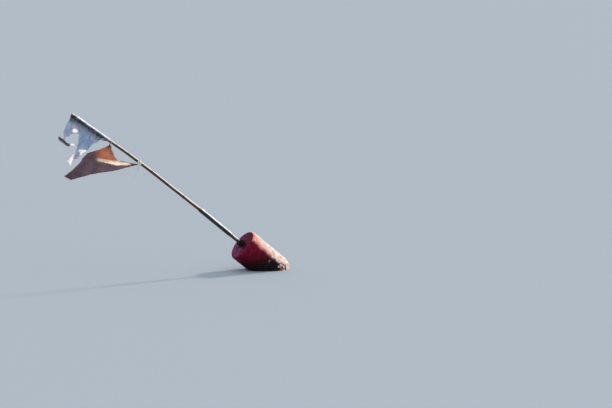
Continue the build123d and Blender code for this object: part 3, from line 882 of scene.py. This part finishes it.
def twine_along(name, points, radius, material, node=None):
    """Twine laid along a path. One turn of its lay takes seven times its radius."""
    made = grown(name, LAID_TWINE, path_curve(points), {
        "Twine radius": radius, "Lay length": 7 * radius, "Step": 0.7 * radius, "Material": material,
    })
    if node:
        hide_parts(node)
    return made


def winding(name, start, turns, cord, swell, layers, material, slot):
    """Turns of twine on the cane, wound up it and back over themselves, thickest in the middle."""
    steps_a_turn = 24
    place = along(start)
    r = cane_radius(start)
    count = (turns - 1) * steps_a_turn
    points = []
    for layer in range(layers):
        for i in range(count + 1):
            t = i / count
            if layer % 2:
                t = 1 - t
            reach = r + cord * (2 * layer + 1) + swell * (1 - (2 * t - 1) ** 2)
            angle = 2 * pi * (i + layer * count) / steps_a_turn
            rise = cord + 2 * cord * (turns - 1) * t
            points.append(place @ Vector((reach * cos(angle), reach * sin(angle), rise)))
    made = twine_along(name + "_turns", points, cord, material, name)
    mark_cane(made.data)
    return made


def knot_centre(start, turns, cord, swell):
    """Where a winding's knot sits: under its middle turn."""
    wound_r = cane_radius(start) + 2 * cord + swell + SEAT_GAP
    return along(start + cord * turns, up=-wound_r - KNOT_R + KNOT_SAG)


def knot(name, place, cord, material):
    """A trefoil drawn tight, as an overhand knot is."""
    size = (KNOT_R - cord) / 3
    steps = 60
    points = []
    for i in range(steps + 1):
        t = 2 * pi * i / steps
        spot = Vector((sin(t) + 2 * sin(2 * t), cos(t) - 2 * cos(2 * t), -1.6 * sin(3 * t)))
        points.append(place @ (size * spot))
    return twine_along(name + "_strands", points, cord, material, name)


def smooth_run(route):
    """Points along a NURBS line that the route's points steer."""
    curve = path_curve(route, "NURBS")
    spline = curve.splines[0]
    spline.order_u = 3
    spline.use_endpoint_u = True
    line = plain_mesh(placed("route", curve))
    return [vertex.co.copy() for vertex in line.vertices]


def slack_loops():
    """Two small loops drawn out of the corner knot."""
    centre = knot_centre(*CORNER).translation
    loops = []
    for i, steps in enumerate(CORNER_LOOPS):
        run = smooth_run([centre + Vector(step) for step in steps])
        loops.append(twine_along(f"corner_loop_{i + 1}", run, TAIL_R, PALE_TWINE, None))
    return loops


def twine_tail():
    """The corner twine's loose end: it hangs from its knot and bends in the wind, and is frayed."""
    centre = knot_centre(*CORNER).translation
    steps = [
        (0.003, -0.001, -0.024),
        (0.002, -0.002, -0.044),
        (-0.006, -0.002, -0.062),
        (-0.018, -0.001, -0.080),
        (-0.031, 0.001, -0.097),
    ]
    route = [centre + Vector(step) for step in steps]
    route.insert(0, centre + Vector(steps[0]).normalized() * (KNOT_R + SEAT_GAP))
    path = smooth_run(route)
    tail = twine_along("twine_tail_strands", path, TAIL_R, PALE_TWINE, "twine_tail")
    end, heading = path[-1], (path[-1] - path[-2]).normalized()
    # The fray starts just inside the end, across half the twine's width.
    inside_end = end - heading * 0.002
    half_width = Vector((0.0008, 0, 0))
    stub = run_mesh("fray_base", [inside_end - half_width, inside_end + half_width])
    fray = grown("twine_tail_fray", THREADS, stub, {
        "Spacing": 0.0001, "Length": 0.014, "Thread radius": 0.00025, "Lean": heading, "Seed": 3,
        "Material": PALE_TWINE,
    })
    wisps = grown("twine_tail_wisps", THREADS, run_mesh("tail_core", path), {
        "Spacing": 0.0007, "Length": 0.010, "Thread radius": 0.00025, "Lean": (-0.1, 0.0, -0.8), "Seed": 4,
        "Material": PALE_TWINE,
    })
    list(slack_loops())


# Cane

def near_joint(distance):
    """Whether a distance lies on a joint's swelling."""
    return min(abs(distance - row[0]) for row in CANE_JOINTS) < JOINT_HALF_LENGTH


def joint_swell(distance):
    """How far the nearest joint stands out: its ridge, and the leaf scar just below."""
    away = min((distance - row[0] for row in CANE_JOINTS), key=abs)
    ridge = JOINT_RISE * exp(-((away - 0.0015) / 0.0028) ** 2)
    scar = JOINT_SCAR_RISE * exp(-((away + 0.0035) / 0.0018) ** 2)
    return ridge + scar


def bamboo_cane():
    """The cane on its bent axis, with joints, and open at the top."""
    step = 0.0025
    # Between joints, where the cane is plain, only one step in so many is kept.
    plain_steps = 6
    count = round((CANE_TIP - CANE_FOOT) / step)
    rows = []
    for i in range(count + 1):
        distance = CANE_FOOT + (CANE_TIP - CANE_FOOT) * i / count
        if near_joint(distance) or i in (0, count) or i % plain_steps == 0:
            rows.append((distance, cane_radius(distance) + joint_swell(distance)))
    # Each end is closed by a ring of almost no radius, a hair away from its neighbour.
    hair = 0.00005
    rows[0] = (CANE_FOOT + hair, rows[0][1])
    rows.insert(0, (CANE_FOOT, hair))
    outer = len(rows)
    floor = CANE_TIP - CANE_BORE_DEPTH
    rows += [
        (floor, hair),
        (floor + hair, CANE_BORE_R),
        (CANE_TIP - hair, CANE_BORE_R),
        (CANE_TIP, rows[-1][1]),
    ]
    axis = bpy.data.meshes.new("cane_axis")
    runs = [(i, i + 1) for i in range(len(rows) - 1) if i + 1 != outer]
    axis.from_pydata([along(distance).translation for distance, _ in rows], runs, [])
    write(axis, "radius", [width for _, width in rows])
    write(axis, "bore", [float(i >= outer) for i in range(len(rows))])
    made = grown("cane", JOINTED_CANE, axis, {"Sides": 28, "Material": BAMBOO})
    mark_cane(made.data)
    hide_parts("bamboo_cane")


def mark_cane(mesh):
    """Writes each point's place on the straightened cane, and how near it is to a joint."""
    rows = [cane_place(vertex.co) for vertex in mesh.vertices]
    # A joint is darkest a millimetre below its ridge.
    rings = [min(abs(row.z - joint[0] + 0.001) for joint in CANE_JOINTS) for row in rows]
    write(mesh, "cane_place", [value for row in rows for value in row], "FLOAT_VECTOR")
    write(mesh, "joint", [exp(-((ring / 0.003) ** 2)) for ring in rings])


# Sheets

def inside(x, z, outline):
    """Whether a point lies within a closed outline."""
    found = False
    for (x0, z0), (x1, z1) in zip(outline, outline[1:] + outline[:1]):
        if (z0 > z) != (z1 > z) and x < (x1 - x0) * (z - z0) / (z1 - z0) + x0:
            found = not found
    return found


def edge_distance(x, z, outline):
    """How far a point lies from the nearest side of an open run of edge."""
    best = 1.0
    for (x0, z0), (x1, z1) in zip(outline, outline[1:]):
        run_x, run_z = x1 - x0, z1 - z0
        t = ((x - x0) * run_x + (z - z0) * run_z) / (run_x * run_x + run_z * run_z)
        t = min(max(t, 0.0), 1.0)
        best = min(best, hypot(x - x0 - t * run_x, z - z0 - t * run_z))
    return best


def torn(edge, depth, seed, spacing=TEAR_STEP):
    """An open run of edge in short steps, ragged by up to depth. Its corners stay."""
    rows = []
    for (x0, z0), (x1, z1) in zip(edge, edge[1:]):
        run = hypot(x1 - x0, z1 - z0)
        count = max(1, round(run / spacing))
        for i in range(count):
            t = i / count
            x, z = x0 + (x1 - x0) * t, z0 + (z1 - z0) * t
            jag = depth * noise.noise(Vector((x, z, seed)) * 90) if i else 0.0
            rows.append((x - jag * (z1 - z0) / run, z + jag * (x1 - x0) / run))
    return rows + [edge[-1]]


def sheet_mesh(name, outline, sway, laid, marks):
    """A cut sheet: the outline, in X and Z from the cane's tip, filled with an even net of
    points and bent by sway(x, z). laid(x, z) is a point's place for the weave or the creases.
    Each of marks names an attribute and gives its value there."""
    flat = [Vector(row) for row in outline]
    low_x, low_z = min(x for x, _ in outline), min(z for _, z in outline)
    # Every other row is set half a step over, which makes even-sided triangles.
    rows_a_step = 1.155
    columns = int((max(x for x, _ in outline) - low_x) / NET_SPACING) + 1
    rows = int((max(z for _, z in outline) - low_z) / NET_SPACING * rows_a_step) + 1
    closed = outline + outline[:1]
    for j in range(rows):
        for i in range(columns):
            x = low_x + NET_SPACING * (i + 0.5 * (j % 2))
            z = low_z + NET_SPACING * j / rows_a_step
            if inside(x, z, outline) and edge_distance(x, z, closed) > 0.55 * NET_SPACING:
                flat.append(Vector((x, z)))
    count = len(outline)
    rim = [(i, (i + 1) % count) for i in range(count)]
    points, _, faces, *_ = geometry.delaunay_2d_cdt(flat, rim, [], 1, 1e-6)
    mesh = bpy.data.meshes.new(name)
    bent = [TIP + Vector((x, sway(x, z), z)) for x, z in points]
    mesh.from_pydata(bent, [], [tuple(face) for face in faces])
    write(mesh, "sheet_place", [value for x, z in points for value in laid(x, z)], "FLOAT_VECTOR")
    for label, amount in marks.items():
        write(mesh, label, [amount(x, z) for x, z in points])
    return mesh


def finish_sheet(made, thickness):
    """Rounds a sheet's shading and gives it a thin wall."""
    made.data.shade_smooth()
    wall = made.modifiers.new("wall", "SOLIDIFY")
    wall.thickness = thickness
    wall.offset = 0.0
    return made


# Film flag

# The film's top edge: each place is a distance along the cane, and how far below its axis
FILM_HOIST = [
    (CANE_TIP + 0.004, 0.0101),
    (TIP_LASH_START + 0.0245, 0.0101),
    (TIP_LASH_START + 0.0225, 0.0133),
    (TIP_LASH_START + 0.0108, 0.0142),
    (HEM_END + 0.003, 0.0133),
    (HEM_END - 0.001, 0.0124),
    (1.600, 0.0124),
    (1.520, 0.0124),
    (1.440, 0.0124),
    (HEM_START + 0.001, 0.0124),
    (HEM_START - 0.004, 0.0150),
    (HEM_START - 0.009, 0.0165),
]
# The film's torn edge in X and Z from the cane's tip, from the foot of its hoist to the tip
FILM_EDGE = [
    (0.284, -0.212), (0.252, -0.206), (0.221, -0.201), (0.204, -0.212), (0.181, -0.224),
    (0.163, -0.231), (0.133, -0.256), (0.116, -0.268), (0.097, -0.287), (0.070, -0.321),
    (0.065, -0.304), (0.062, -0.327), (0.035, -0.332), (0.017, -0.333), (0.004, -0.343),
    (0.003, -0.360), (0.005, -0.386), (-0.049, -0.343), (-0.029, -0.338), (-0.020, -0.323),
    (-0.006, -0.304), (0.010, -0.283), (0.025, -0.262), (0.031, -0.240), (0.037, -0.218),
    (0.046, -0.200), (0.048, -0.177), (0.055, -0.153), (0.049, -0.143), (0.030, -0.141),
    (0.012, -0.144), (-0.008, -0.148), (-0.018, -0.158), (-0.026, -0.164), (-0.042, -0.162),
    (-0.053, -0.180), (-0.058, -0.190), (-0.066, -0.183), (-0.061, -0.168), (-0.059, -0.153),
    (-0.063, -0.139), (-0.063, -0.124), (-0.056, -0.110), (-0.046, -0.091), (-0.041, -0.075),
    (-0.032, -0.059), (-0.021, -0.046), (-0.014, -0.030),
]
# The film's doubled border, which has torn away from it
FILM_BORDER = [
    (-0.105, -0.156), (-0.080, -0.173), (-0.059, -0.188), (-0.042, -0.207), (-0.024, -0.217),
    (0.000, -0.216), (0.046, -0.219), (0.046, -0.232), (0.001, -0.232), (-0.028, -0.238),
    (-0.047, -0.233), (-0.062, -0.219), (-0.081, -0.206), (-0.101, -0.187),
]
# Crumpled patches, painted white as highlights: X, Z and radius
FILM_PATCHES = [
    (0.024, -0.122, 0.016), (0.034, -0.124, 0.012), (0.246, -0.191, 0.008), (0.060, -0.273, 0.011),
    (0.078, -0.279, 0.016), (0.098, -0.276, 0.012), (0.076, -0.300, 0.012), (0.022, -0.270, 0.005),
    (0.012, -0.288, 0.011), (0.002, -0.303, 0.013), (-0.006, -0.318, 0.016), (0.050, -0.326, 0.006),
    (-0.006, -0.336, 0.018), (-0.005, -0.356, 0.016), (-0.033, -0.346, 0.018), (0.003, -0.376, 0.012),
]
# Where the film leans so that the sun strikes it from behind: two points in X and Z, and a radius
FILM_LEANS = [
    ((0.022, -0.122), (0.032, -0.122), 0.015),
    ((0.243, -0.191), (0.249, -0.191), 0.008),
    ((0.062, -0.276), (0.092, -0.280), 0.020),
    ((-0.008, -0.224), (0.024, -0.224), 0.012),
    ((0.012, -0.292), (-0.010, -0.366), 0.020),
]


def film_place(x, z):
    """A place on the film, along its hoist and down from it."""
    local = along(HEM_START).inverted() @ (TIP + Vector((x, 0, z)))
    return local.z, 0.0, -local.x


def film_sway(x, z):
    """The film ripples more the further it is from the cane, and is crumpled all over."""
    run, _, down = film_place(x, z)
    drop = max(0.0, down - cane_radius(HEM_START))
    length = CANE_TIP - HEM_START + FILM_PAST_HEM + FILM_PAST_TIP
    wave = FILM_TOP_WAVE + (FILM_BOTTOM_WAVE - FILM_TOP_WAVE) * drop / FILM_REACH
    ripple = -wave * sin(pi * FILM_WAVES * (run + FILM_PAST_HEM) / length)
    slack = smooth(0.0, 0.09, drop)
    crumple = 0.0045 * noise.noise(Vector((x, z, 4.0)) * 42)
    crumple += 0.0022 * noise.noise(Vector((x, z, 9.0)) * 120)
    # Gathers that run down from the hem
    gathers = 0.0016 * sin(run * 210 + 2.5 * noise.noise(Vector((x, 0, z)) * 12)) * (1 - 0.6 * slack)
    gathers *= smooth(-0.002, 0.012, drop)
    leant = 0.0
    for start, end, r in FILM_LEANS:
        near = exp(-(edge_distance(x, z, [start, end]) / (2 * r)) ** 2)
        leant += near * (0.8 * (x - (start[0] + end[0]) / 2) + 0.5 * (z - (start[1] + end[1]) / 2))
    return ripple + slack * crumple + gathers - leant


def film_border_sway(x, z):
    """The torn border hangs just in front of the film."""
    return film_sway(x, z) - 0.003


def film_highlight_patches(x, z):
    """1 on the crumpled patches, which are painted white as highlights, with ragged rims."""
    ragged = 0.35 * noise.noise(Vector((x, z, 2.0)) * 110)
    return max(smooth(1.25, 0.75, hypot(x - px, z - pz) / r + ragged) for px, pz, r in FILM_PATCHES)


def film_gather_shade(x, z):
    """Painted shade in rays that run out from the cane's tip, along the gathers of the film."""
    rays = 0.5 + 0.5 * sin(14 * atan2(z + 0.005, x - 0.006))
    return 0.85 * smooth(0.060, 0.020, hypot(x - 0.012, z + 0.018)) * rays


def border_highlight(x, z):
    """The border's pale middle, which is painted as a highlight."""
    return 0.9 * smooth(-0.020, -0.010, x) * smooth(0.046, 0.030, x)


def border_darkened(x, z):
    """The border's dark upper side, towards its free end."""
    upper_side = FILM_BORDER[:7]
    return smooth(-0.012, -0.030, x) * smooth(0.026, 0.012, edge_distance(x, z, upper_side))


def hem():
    """Film rolled round the cane, its turns wrinkled and drawn tight under the cane."""
    step = 0.003
    sides = 36
    count = round((HEM_END - HEM_START) / step)
    bore = max(cane_radius(HEM_START), cane_radius(HEM_END)) + JOINT_RISE + SEAT_GAP
    made = bmesh.new()
    rings = []
    for i in range(count + 1):
        distance = HEM_START + (HEM_END - HEM_START) * i / count
        place = along(HEM_START) @ Matrix.Translation((0, 0, distance - HEM_START))
        ring = []
        for j in range(sides):
            angle = 2 * pi * j / sides
            spot = Vector((cos(angle) * 2.2, sin(angle) * 2.2, distance * 45))
            # The film's edge shows as a step that goes once round every 45 mm.
            lap = (angle / (2 * pi) + distance / 0.045) % 1.0
            wrinkle = 0.0011 * noise.noise(spot) + 0.0006 * (lap < 0.06) + 0.0004 * noise.noise(spot * 3.1)
            reach = bore + 0.5 * HEM_WALL + wrinkle
            ring.append(made.verts.new(place @ Vector((reach * cos(angle), reach * sin(angle), 0))))
        rings.append(ring)
    for low, high in zip(rings, rings[1:]):
        for j in range(sides):
            k = (j + 1) % sides
            made.faces.new((low[j], low[k], high[k], high[j]))
    mesh = bpy.data.meshes.new("hem")
    made.to_mesh(mesh)
    made.free()
    mark_cane(mesh)
    return mesh


def upper_flag():
    """The film flag: its rolled hem, the torn sheet and the border that hangs from it."""
    hoist = [along(distance, -below).translation - TIP for distance, below in FILM_HOIST]
    hoist = [(place.x, place.z) for place in hoist]
    free = torn([hoist[-1], *FILM_EDGE, hoist[0]], 0.005, 1.0)
    mesh = sheet_mesh("film", hoist + free[1:-1], film_sway, film_place, {
        "doubled_highlight": film_highlight_patches,
        "edge": lambda x, z: edge_distance(x, z, free),
        "darkened": film_gather_shade,
    })
    strip = torn([*FILM_BORDER, FILM_BORDER[0]], 0.0015, 2.0)[:-1]
    border = sheet_mesh("border", strip, film_border_sway, film_place, {
        "doubled_highlight": border_highlight,
        "edge": lambda x, z: 0.0,
        "darkened": border_darkened,
    })
    joined = bmesh.new()
    joined.from_mesh(mesh)
    joined.from_mesh(border)
    joined.to_mesh(mesh)
    joined.free()
    film = finish_sheet(piece("film_flag", mesh, FILM), FILM_WALL)
    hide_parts("upper_flag")
    roll = finish_sheet(piece("film_hem", hem(), HEM_FILM), WRAP_WALL)
    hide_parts("upper_flag_hem")


# Cloth flag

# Each row is from the cane's tip: place along X, sway of the upper panel, sway and height of the
# fold's top edge, sway and height of its bottom edge, sway of the lower hem.
CLOTH_SECTIONS = [
    (-0.088, 0.000, -0.004, -0.333, -0.006, -0.348, 0.000),
    (0.212, 0.004, 0.013, -0.340, -0.014, -0.357, -0.006),
    (0.339, 0.000, 0.026, -0.362, -0.028, -0.393, -0.008),
    (0.452, 0.002, 0.013, -0.382, -0.014, -0.398, -0.004),
    (0.527, 0.000, 0.001, -0.396, -0.001, -0.402, 0.000),
]
CLOTH_HEAD = -0.188
CLOTH_HEM = -0.518
CLOTH_CORNER = 0.002


def cloth_corners():
    """Where the cloth's two tied corners lie, from the cane's tip."""
    top = knot_centre(*TIE).translation - TIP
    clew = knot_centre(*CORNER).translation - TIP
    return top - Vector((0, 0, KNOT_R + SEAT_GAP)), clew - Vector((KNOT_R + SEAT_GAP, 0, 0))


CLOTH_TOP, CLOTH_CLEW = cloth_corners()
# Corners of the cloth in X and Z from the cane's tip, clockwise from the tied top corner
CLOTH_OUTLINE = [
    (CLOTH_TOP.x + CLOTH_CORNER, CLOTH_TOP.z),
    (0.318, -0.258),
    (0.335, -0.296),
    (0.355, -0.334),
    (0.377, -0.363),
    (0.450, -0.380),
    (CLOTH_CLEW.x, CLOTH_CLEW.z + CLOTH_CORNER),
    (CLOTH_CLEW.x, CLOTH_CLEW.z - CLOTH_CORNER),
    (0.458, -0.408),
    (0.378, -0.422),
    (0.299, -0.436),
    (0.219, -0.443),
    (0.140, -0.452),
    (0.061, -0.470),
    (-0.011, -0.486),
    (-0.065, -0.455),
    (-0.002, -0.416),
    (0.054, -0.364),
    (0.085, -0.332),
    (0.125, -0.293),
    (0.181, -0.281),
    (0.220, -0.272),
    (0.260, -0.259),
    (CLOTH_TOP.x - CLOTH_CORNER, CLOTH_TOP.z),
]


def cloth_section(x):
    """The cloth's section at a place along X, between the rows of the table."""
    rows = CLOTH_SECTIONS
    if x <= rows[0][0]:
        return rows[0][1:]
    for low, high in zip(rows, rows[1:]):
        if x <= high[0]:
            t = (x - low[0]) / (high[0] - low[0])
            return tuple(a + (b - a) * t for a, b in zip(low[1:], high[1:]))
    return rows[-1][1:]


def cloth_sway(x, z):
    """The two panels and the fold between them, with tension creases from the tied corners."""
    top, y1, z1, y2, z2, low = cloth_section(x)
    if z > z1:
        sway = y1 + (top - y1) * smooth(z1, CLOTH_HEAD, z)
    elif z > z2:
        sway = y2 + (y1 - y2) * (z - z2) / (z1 - z2)
    else:
        sway = low + (y2 - low) * smooth(CLOTH_HEM, z2, z)
    creases = 0.0
    for corner, fineness, height in ((CLOTH_TOP, 17.0, 0.0022), (CLOTH_CLEW, 30.0, 0.0024)):
        reach = hypot(x - corner.x, z - corner.z)
        turn = atan2(z - corner.z, x - corner.x)
        creases += height * sin(fineness * turn) * smooth(0.0, 0.06, reach) * smooth(0.42, 0.1, reach)
    flutter = 0.006 * sin(19 * (x + 0.06)) * smooth(0.25, -0.05, x)
    crumple = 0.0018 * noise.noise(Vector((x, z, 6.0)) * 38)
    return sway + creases + flutter + crumple


def cloth_sunlit_bleach(x, z):
    """The fold's upper face is painted cream: bleached by the sun in part, and painted sunlight in part."""
    _, y1, z1, y2, z2, _ = cloth_section(x)
    ragged = 0.004 * noise.noise(Vector((x, z, 3.0)) * 60)
    band = smooth(z2 - 0.003, z2 + 0.001, z + ragged) * smooth(z1 + 0.002, z1 - 0.001, z)
    return band * smooth(0.18, 0.22, x) * smooth(0.485, 0.448, x)


def cloth_glow(x, z):
    """How much painted sunlight shines through the cloth: 1 near its tied top corner, 0 by the torn fly."""
    return smooth(0.20, 0.03, hypot(x - 0.315, 0.8 * (z + 0.28))) * smooth(-0.40, -0.36, z)


def corner_lashing():
    """Turns of tarred twine round the cloth's gathered corner, drawn up to its knot."""
    turns = 3
    steps_a_turn = 16
    clew = TIP + CLOTH_CLEW
    points = [clew + Vector((0.006, 0, 0)), clew + Vector((0.002, 0, 0))]
    for i in range(turns * steps_a_turn + 1):
        t = i / (turns * steps_a_turn)
        angle = 2 * pi * turns * t
        half_height = 0.0036 + 0.0018 * t
        points.append(clew + Vector((0.001 - 0.009 * t, -0.0024 * cos(angle), half_height * sin(angle))))
    return twine_along("corner_lashing", points, 0.0013, DARK_TWINE)


def lower_flag():
    """The cloth flag: a tied panel with a fold, a torn fly and loose threads."""
    outline = torn(CLOTH_OUTLINE, 0.003, 5.0, spacing=0.006)
    luff = CLOTH_OUTLINE[:5]
    mesh = sheet_mesh("cloth", outline, cloth_sway, lambda x, z: (x, 0.0, z), {
        "sunlit_bleach": cloth_sunlit_bleach,
        "glow": cloth_glow,
        "edge": lambda x, z: edge_distance(x, z, CLOTH_OUTLINE),
        "tabling": lambda x, z: smooth(0.011, 0.008, edge_distance(x, z, luff)) * smooth(-0.25, -0.27, z),
        # Painted shade of the gathered cloth by the top corner's knot
        "knot_shade": lambda x, z: 0.85 * smooth(0.034, 0.006, hypot(x - CLOTH_TOP.x - 0.004, z - CLOTH_TOP.z)),
    })
    cloth = finish_sheet(piece("cloth_flag", mesh, CLOTH), CLOTH_WALL)
    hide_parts("lower_flag")
    fly = run_mesh("fly_edge", [TIP + Vector((x, cloth_sway(x, z), z)) for x, z in outline if x < 0.13])
    threads = grown("cloth_threads", THREADS, fly, {
        "Spacing": 0.0075, "Length": 0.018, "Thread radius": 0.0003, "Lean": (-0.5, 0.0, -0.5), "Seed": 11,
        "Material": CLOTH,
    })
    rope = []
    steps = 6
    luff = [Vector(corner) for corner in luff]
    for low, high in zip(luff, luff[1:]):
        for i in range(steps):
            x, z = low.lerp(high, i / steps)
            rope.append(TIP + Vector((x, cloth_sway(x, z), z)))
    # The cord down the luff is bound with tarred twine where it starts.
    lashed = [
        twine_along("luff_lashing", rope[:5], 0.0022, DARK_TWINE),
        twine_along("luff_cord", rope[4:], 0.0018, PALE_TWINE, None),
        corner_lashing(),
    ]


# Growth on the float and the weight

def barnacles(name, node, highest, patch_radius, spacing, sizes, seed):
    """Barnacles set out on a copy of a solid's skin."""
    skin = bmesh.new()
    skin.from_mesh(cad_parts[node].data)
    bmesh.ops.remove_doubles(skin, verts=skin.verts, dist=1e-6)
    mesh = bpy.data.meshes.new(name + "_skin")
    skin.to_mesh(mesh)
    skin.free()
    made = grown(name, BARNACLES, mesh, {
        "Spacing": spacing, "Density": 9000.0, "Least size": sizes[0], "Largest size": sizes[1],
        "Highest": highest, "Patch": FOULING, "Patch radius": patch_radius, "Seed": seed, "Material": SHELL,
    })
    return made


# Assembly

def dress_solids():
    """Finishes for the solids that stay."""
    for node, material in {
        "float_body": FOAM,
        "pole_sleeve": PIPE,
        "ballast_weight": IRON,
        "mooring_strap": ZINC,
        "foot_bolt": ZINC,
        "foot_nut": ZINC,
        "head_washer": ZINC,
        "nut_washer": ZINC,
    }.items():
        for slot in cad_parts[node].material_slots:
            slot.material = material


def camera():
    """The camera where the photograph was taken from."""
    lens = bpy.data.cameras.new("photo_camera")
    lens.sensor_width = SENSOR_WIDTH
    lens.lens = FOCAL_PIXELS / PHOTO_WIDTH * SENSOR_WIDTH
    lens.clip_start = 0.5
    lens.clip_end = 400
    out, back = (
        Vector((-sin(turn) * cos(rise), -cos(turn) * cos(rise), sin(rise)))
        for turn, rise in ((CAMERA_TURN, CAMERA_RISE), (CAMERA_TURN + AIM_YAW, CAMERA_RISE + AIM_PITCH))
    )
    right = Vector((0, 0, 1)).cross(back).normalized()
    facing = Matrix((right, back.cross(right), back)).transposed().to_4x4()
    made = placed("photo_camera", lens)
    made.matrix_world = Matrix.Translation(out * CAMERA_DISTANCE) @ facing
    bpy.context.scene.camera = made


def light():
    """A warm soft key from the upper right, a little behind, and an even cool fill."""
    key = bpy.data.lights.new("key", "SUN")
    key.energy = 2.6
    key.color = (1.0, 0.9, 0.78)
    key.angle = radians(7)
    lamp = placed("key", key)
    lamp.rotation_mode = "QUATERNION"
    lamp.rotation_quaternion = Vector((0.835, 0.287, 0.468)).to_track_quat("Z", "Y")
    world = bpy.data.worlds.new("studio")
    world.use_nodes = True
    tree = world.node_tree
    tree.nodes.clear()
    rays = add(tree, "ShaderNodeLightPath").outputs
    seen = rays["Is Camera Ray"]
    for ray in ("Is Glossy Ray", "Is Transmission Ray"):
        seen = add(tree, "ShaderNodeMath", {0: seen, 1: rays[ray]}, operation="MAXIMUM")
    fill = add(tree, "ShaderNodeBackground", {"Color": (0.90, 0.95, 1.0, 1.0), "Strength": 0.88})
    backdrop = add(tree, "ShaderNodeBackground", {"Color": "#b5c0cb", "Strength": 1.0})
    both = add(tree, "ShaderNodeMixShader", {0: seen, 1: fill, 2: backdrop})
    add(tree, "ShaderNodeOutputWorld", {"Surface": both})
    bpy.context.scene.world = world


def floor():
    """The plain floor at the waterline."""
    reach = 150.0
    corners = [(x * reach, y * reach, 0) for x, y in ((-1, -1), (1, -1), (1, 1), (-1, 1))]
    mesh = bpy.data.meshes.new("floor")
    mesh.from_pydata(corners, [], [(0, 1, 2, 3)])
    mesh.materials.append(pale_floor())
    placed("floor", mesh)


bpy.context.scene.view_settings.view_transform = "Standard"
camera()
twine_tail()
dress_solids()
bamboo_cane()
below_float = -FLOAT_LENGTH - STOP_START - 2 * STOP_CORD_R * STOP_TURNS
for name, start in (("top_stop_lashing", STOP_START), ("bottom_stop_lashing", below_float)):
    winding(name, start, STOP_TURNS, STOP_CORD_R, STOP_SWELL, 2, DARK_TWINE, "dark_twine")
winding("tip_lashing", *TIP_LASH, 1, HIGHLIT_TWINE, "dark_twine")
winding("lower_flag_top_tie", *TIE, 1, PALE_TWINE, "pale_twine")
winding("corner_twine", *CORNER, 1, PALE_TWINE, "pale_twine")
knot("lower_flag_top_knot", knot_centre(*TIE), TIE_CORD_R, DARK_TWINE)
knot("corner_knot", knot_centre(*CORNER), CORNER_CORD_R, PALE_TWINE)
upper_flag()
lower_flag()
barnacles("float_barnacles", "float_body", 0.004, 0.026, 0.009, (0.0018, 0.0055), 7)
barnacles("weight_barnacles", "ballast_weight", 0.0, 0.0, 0.008, (0.002, 0.005), 5)
light()
floor()
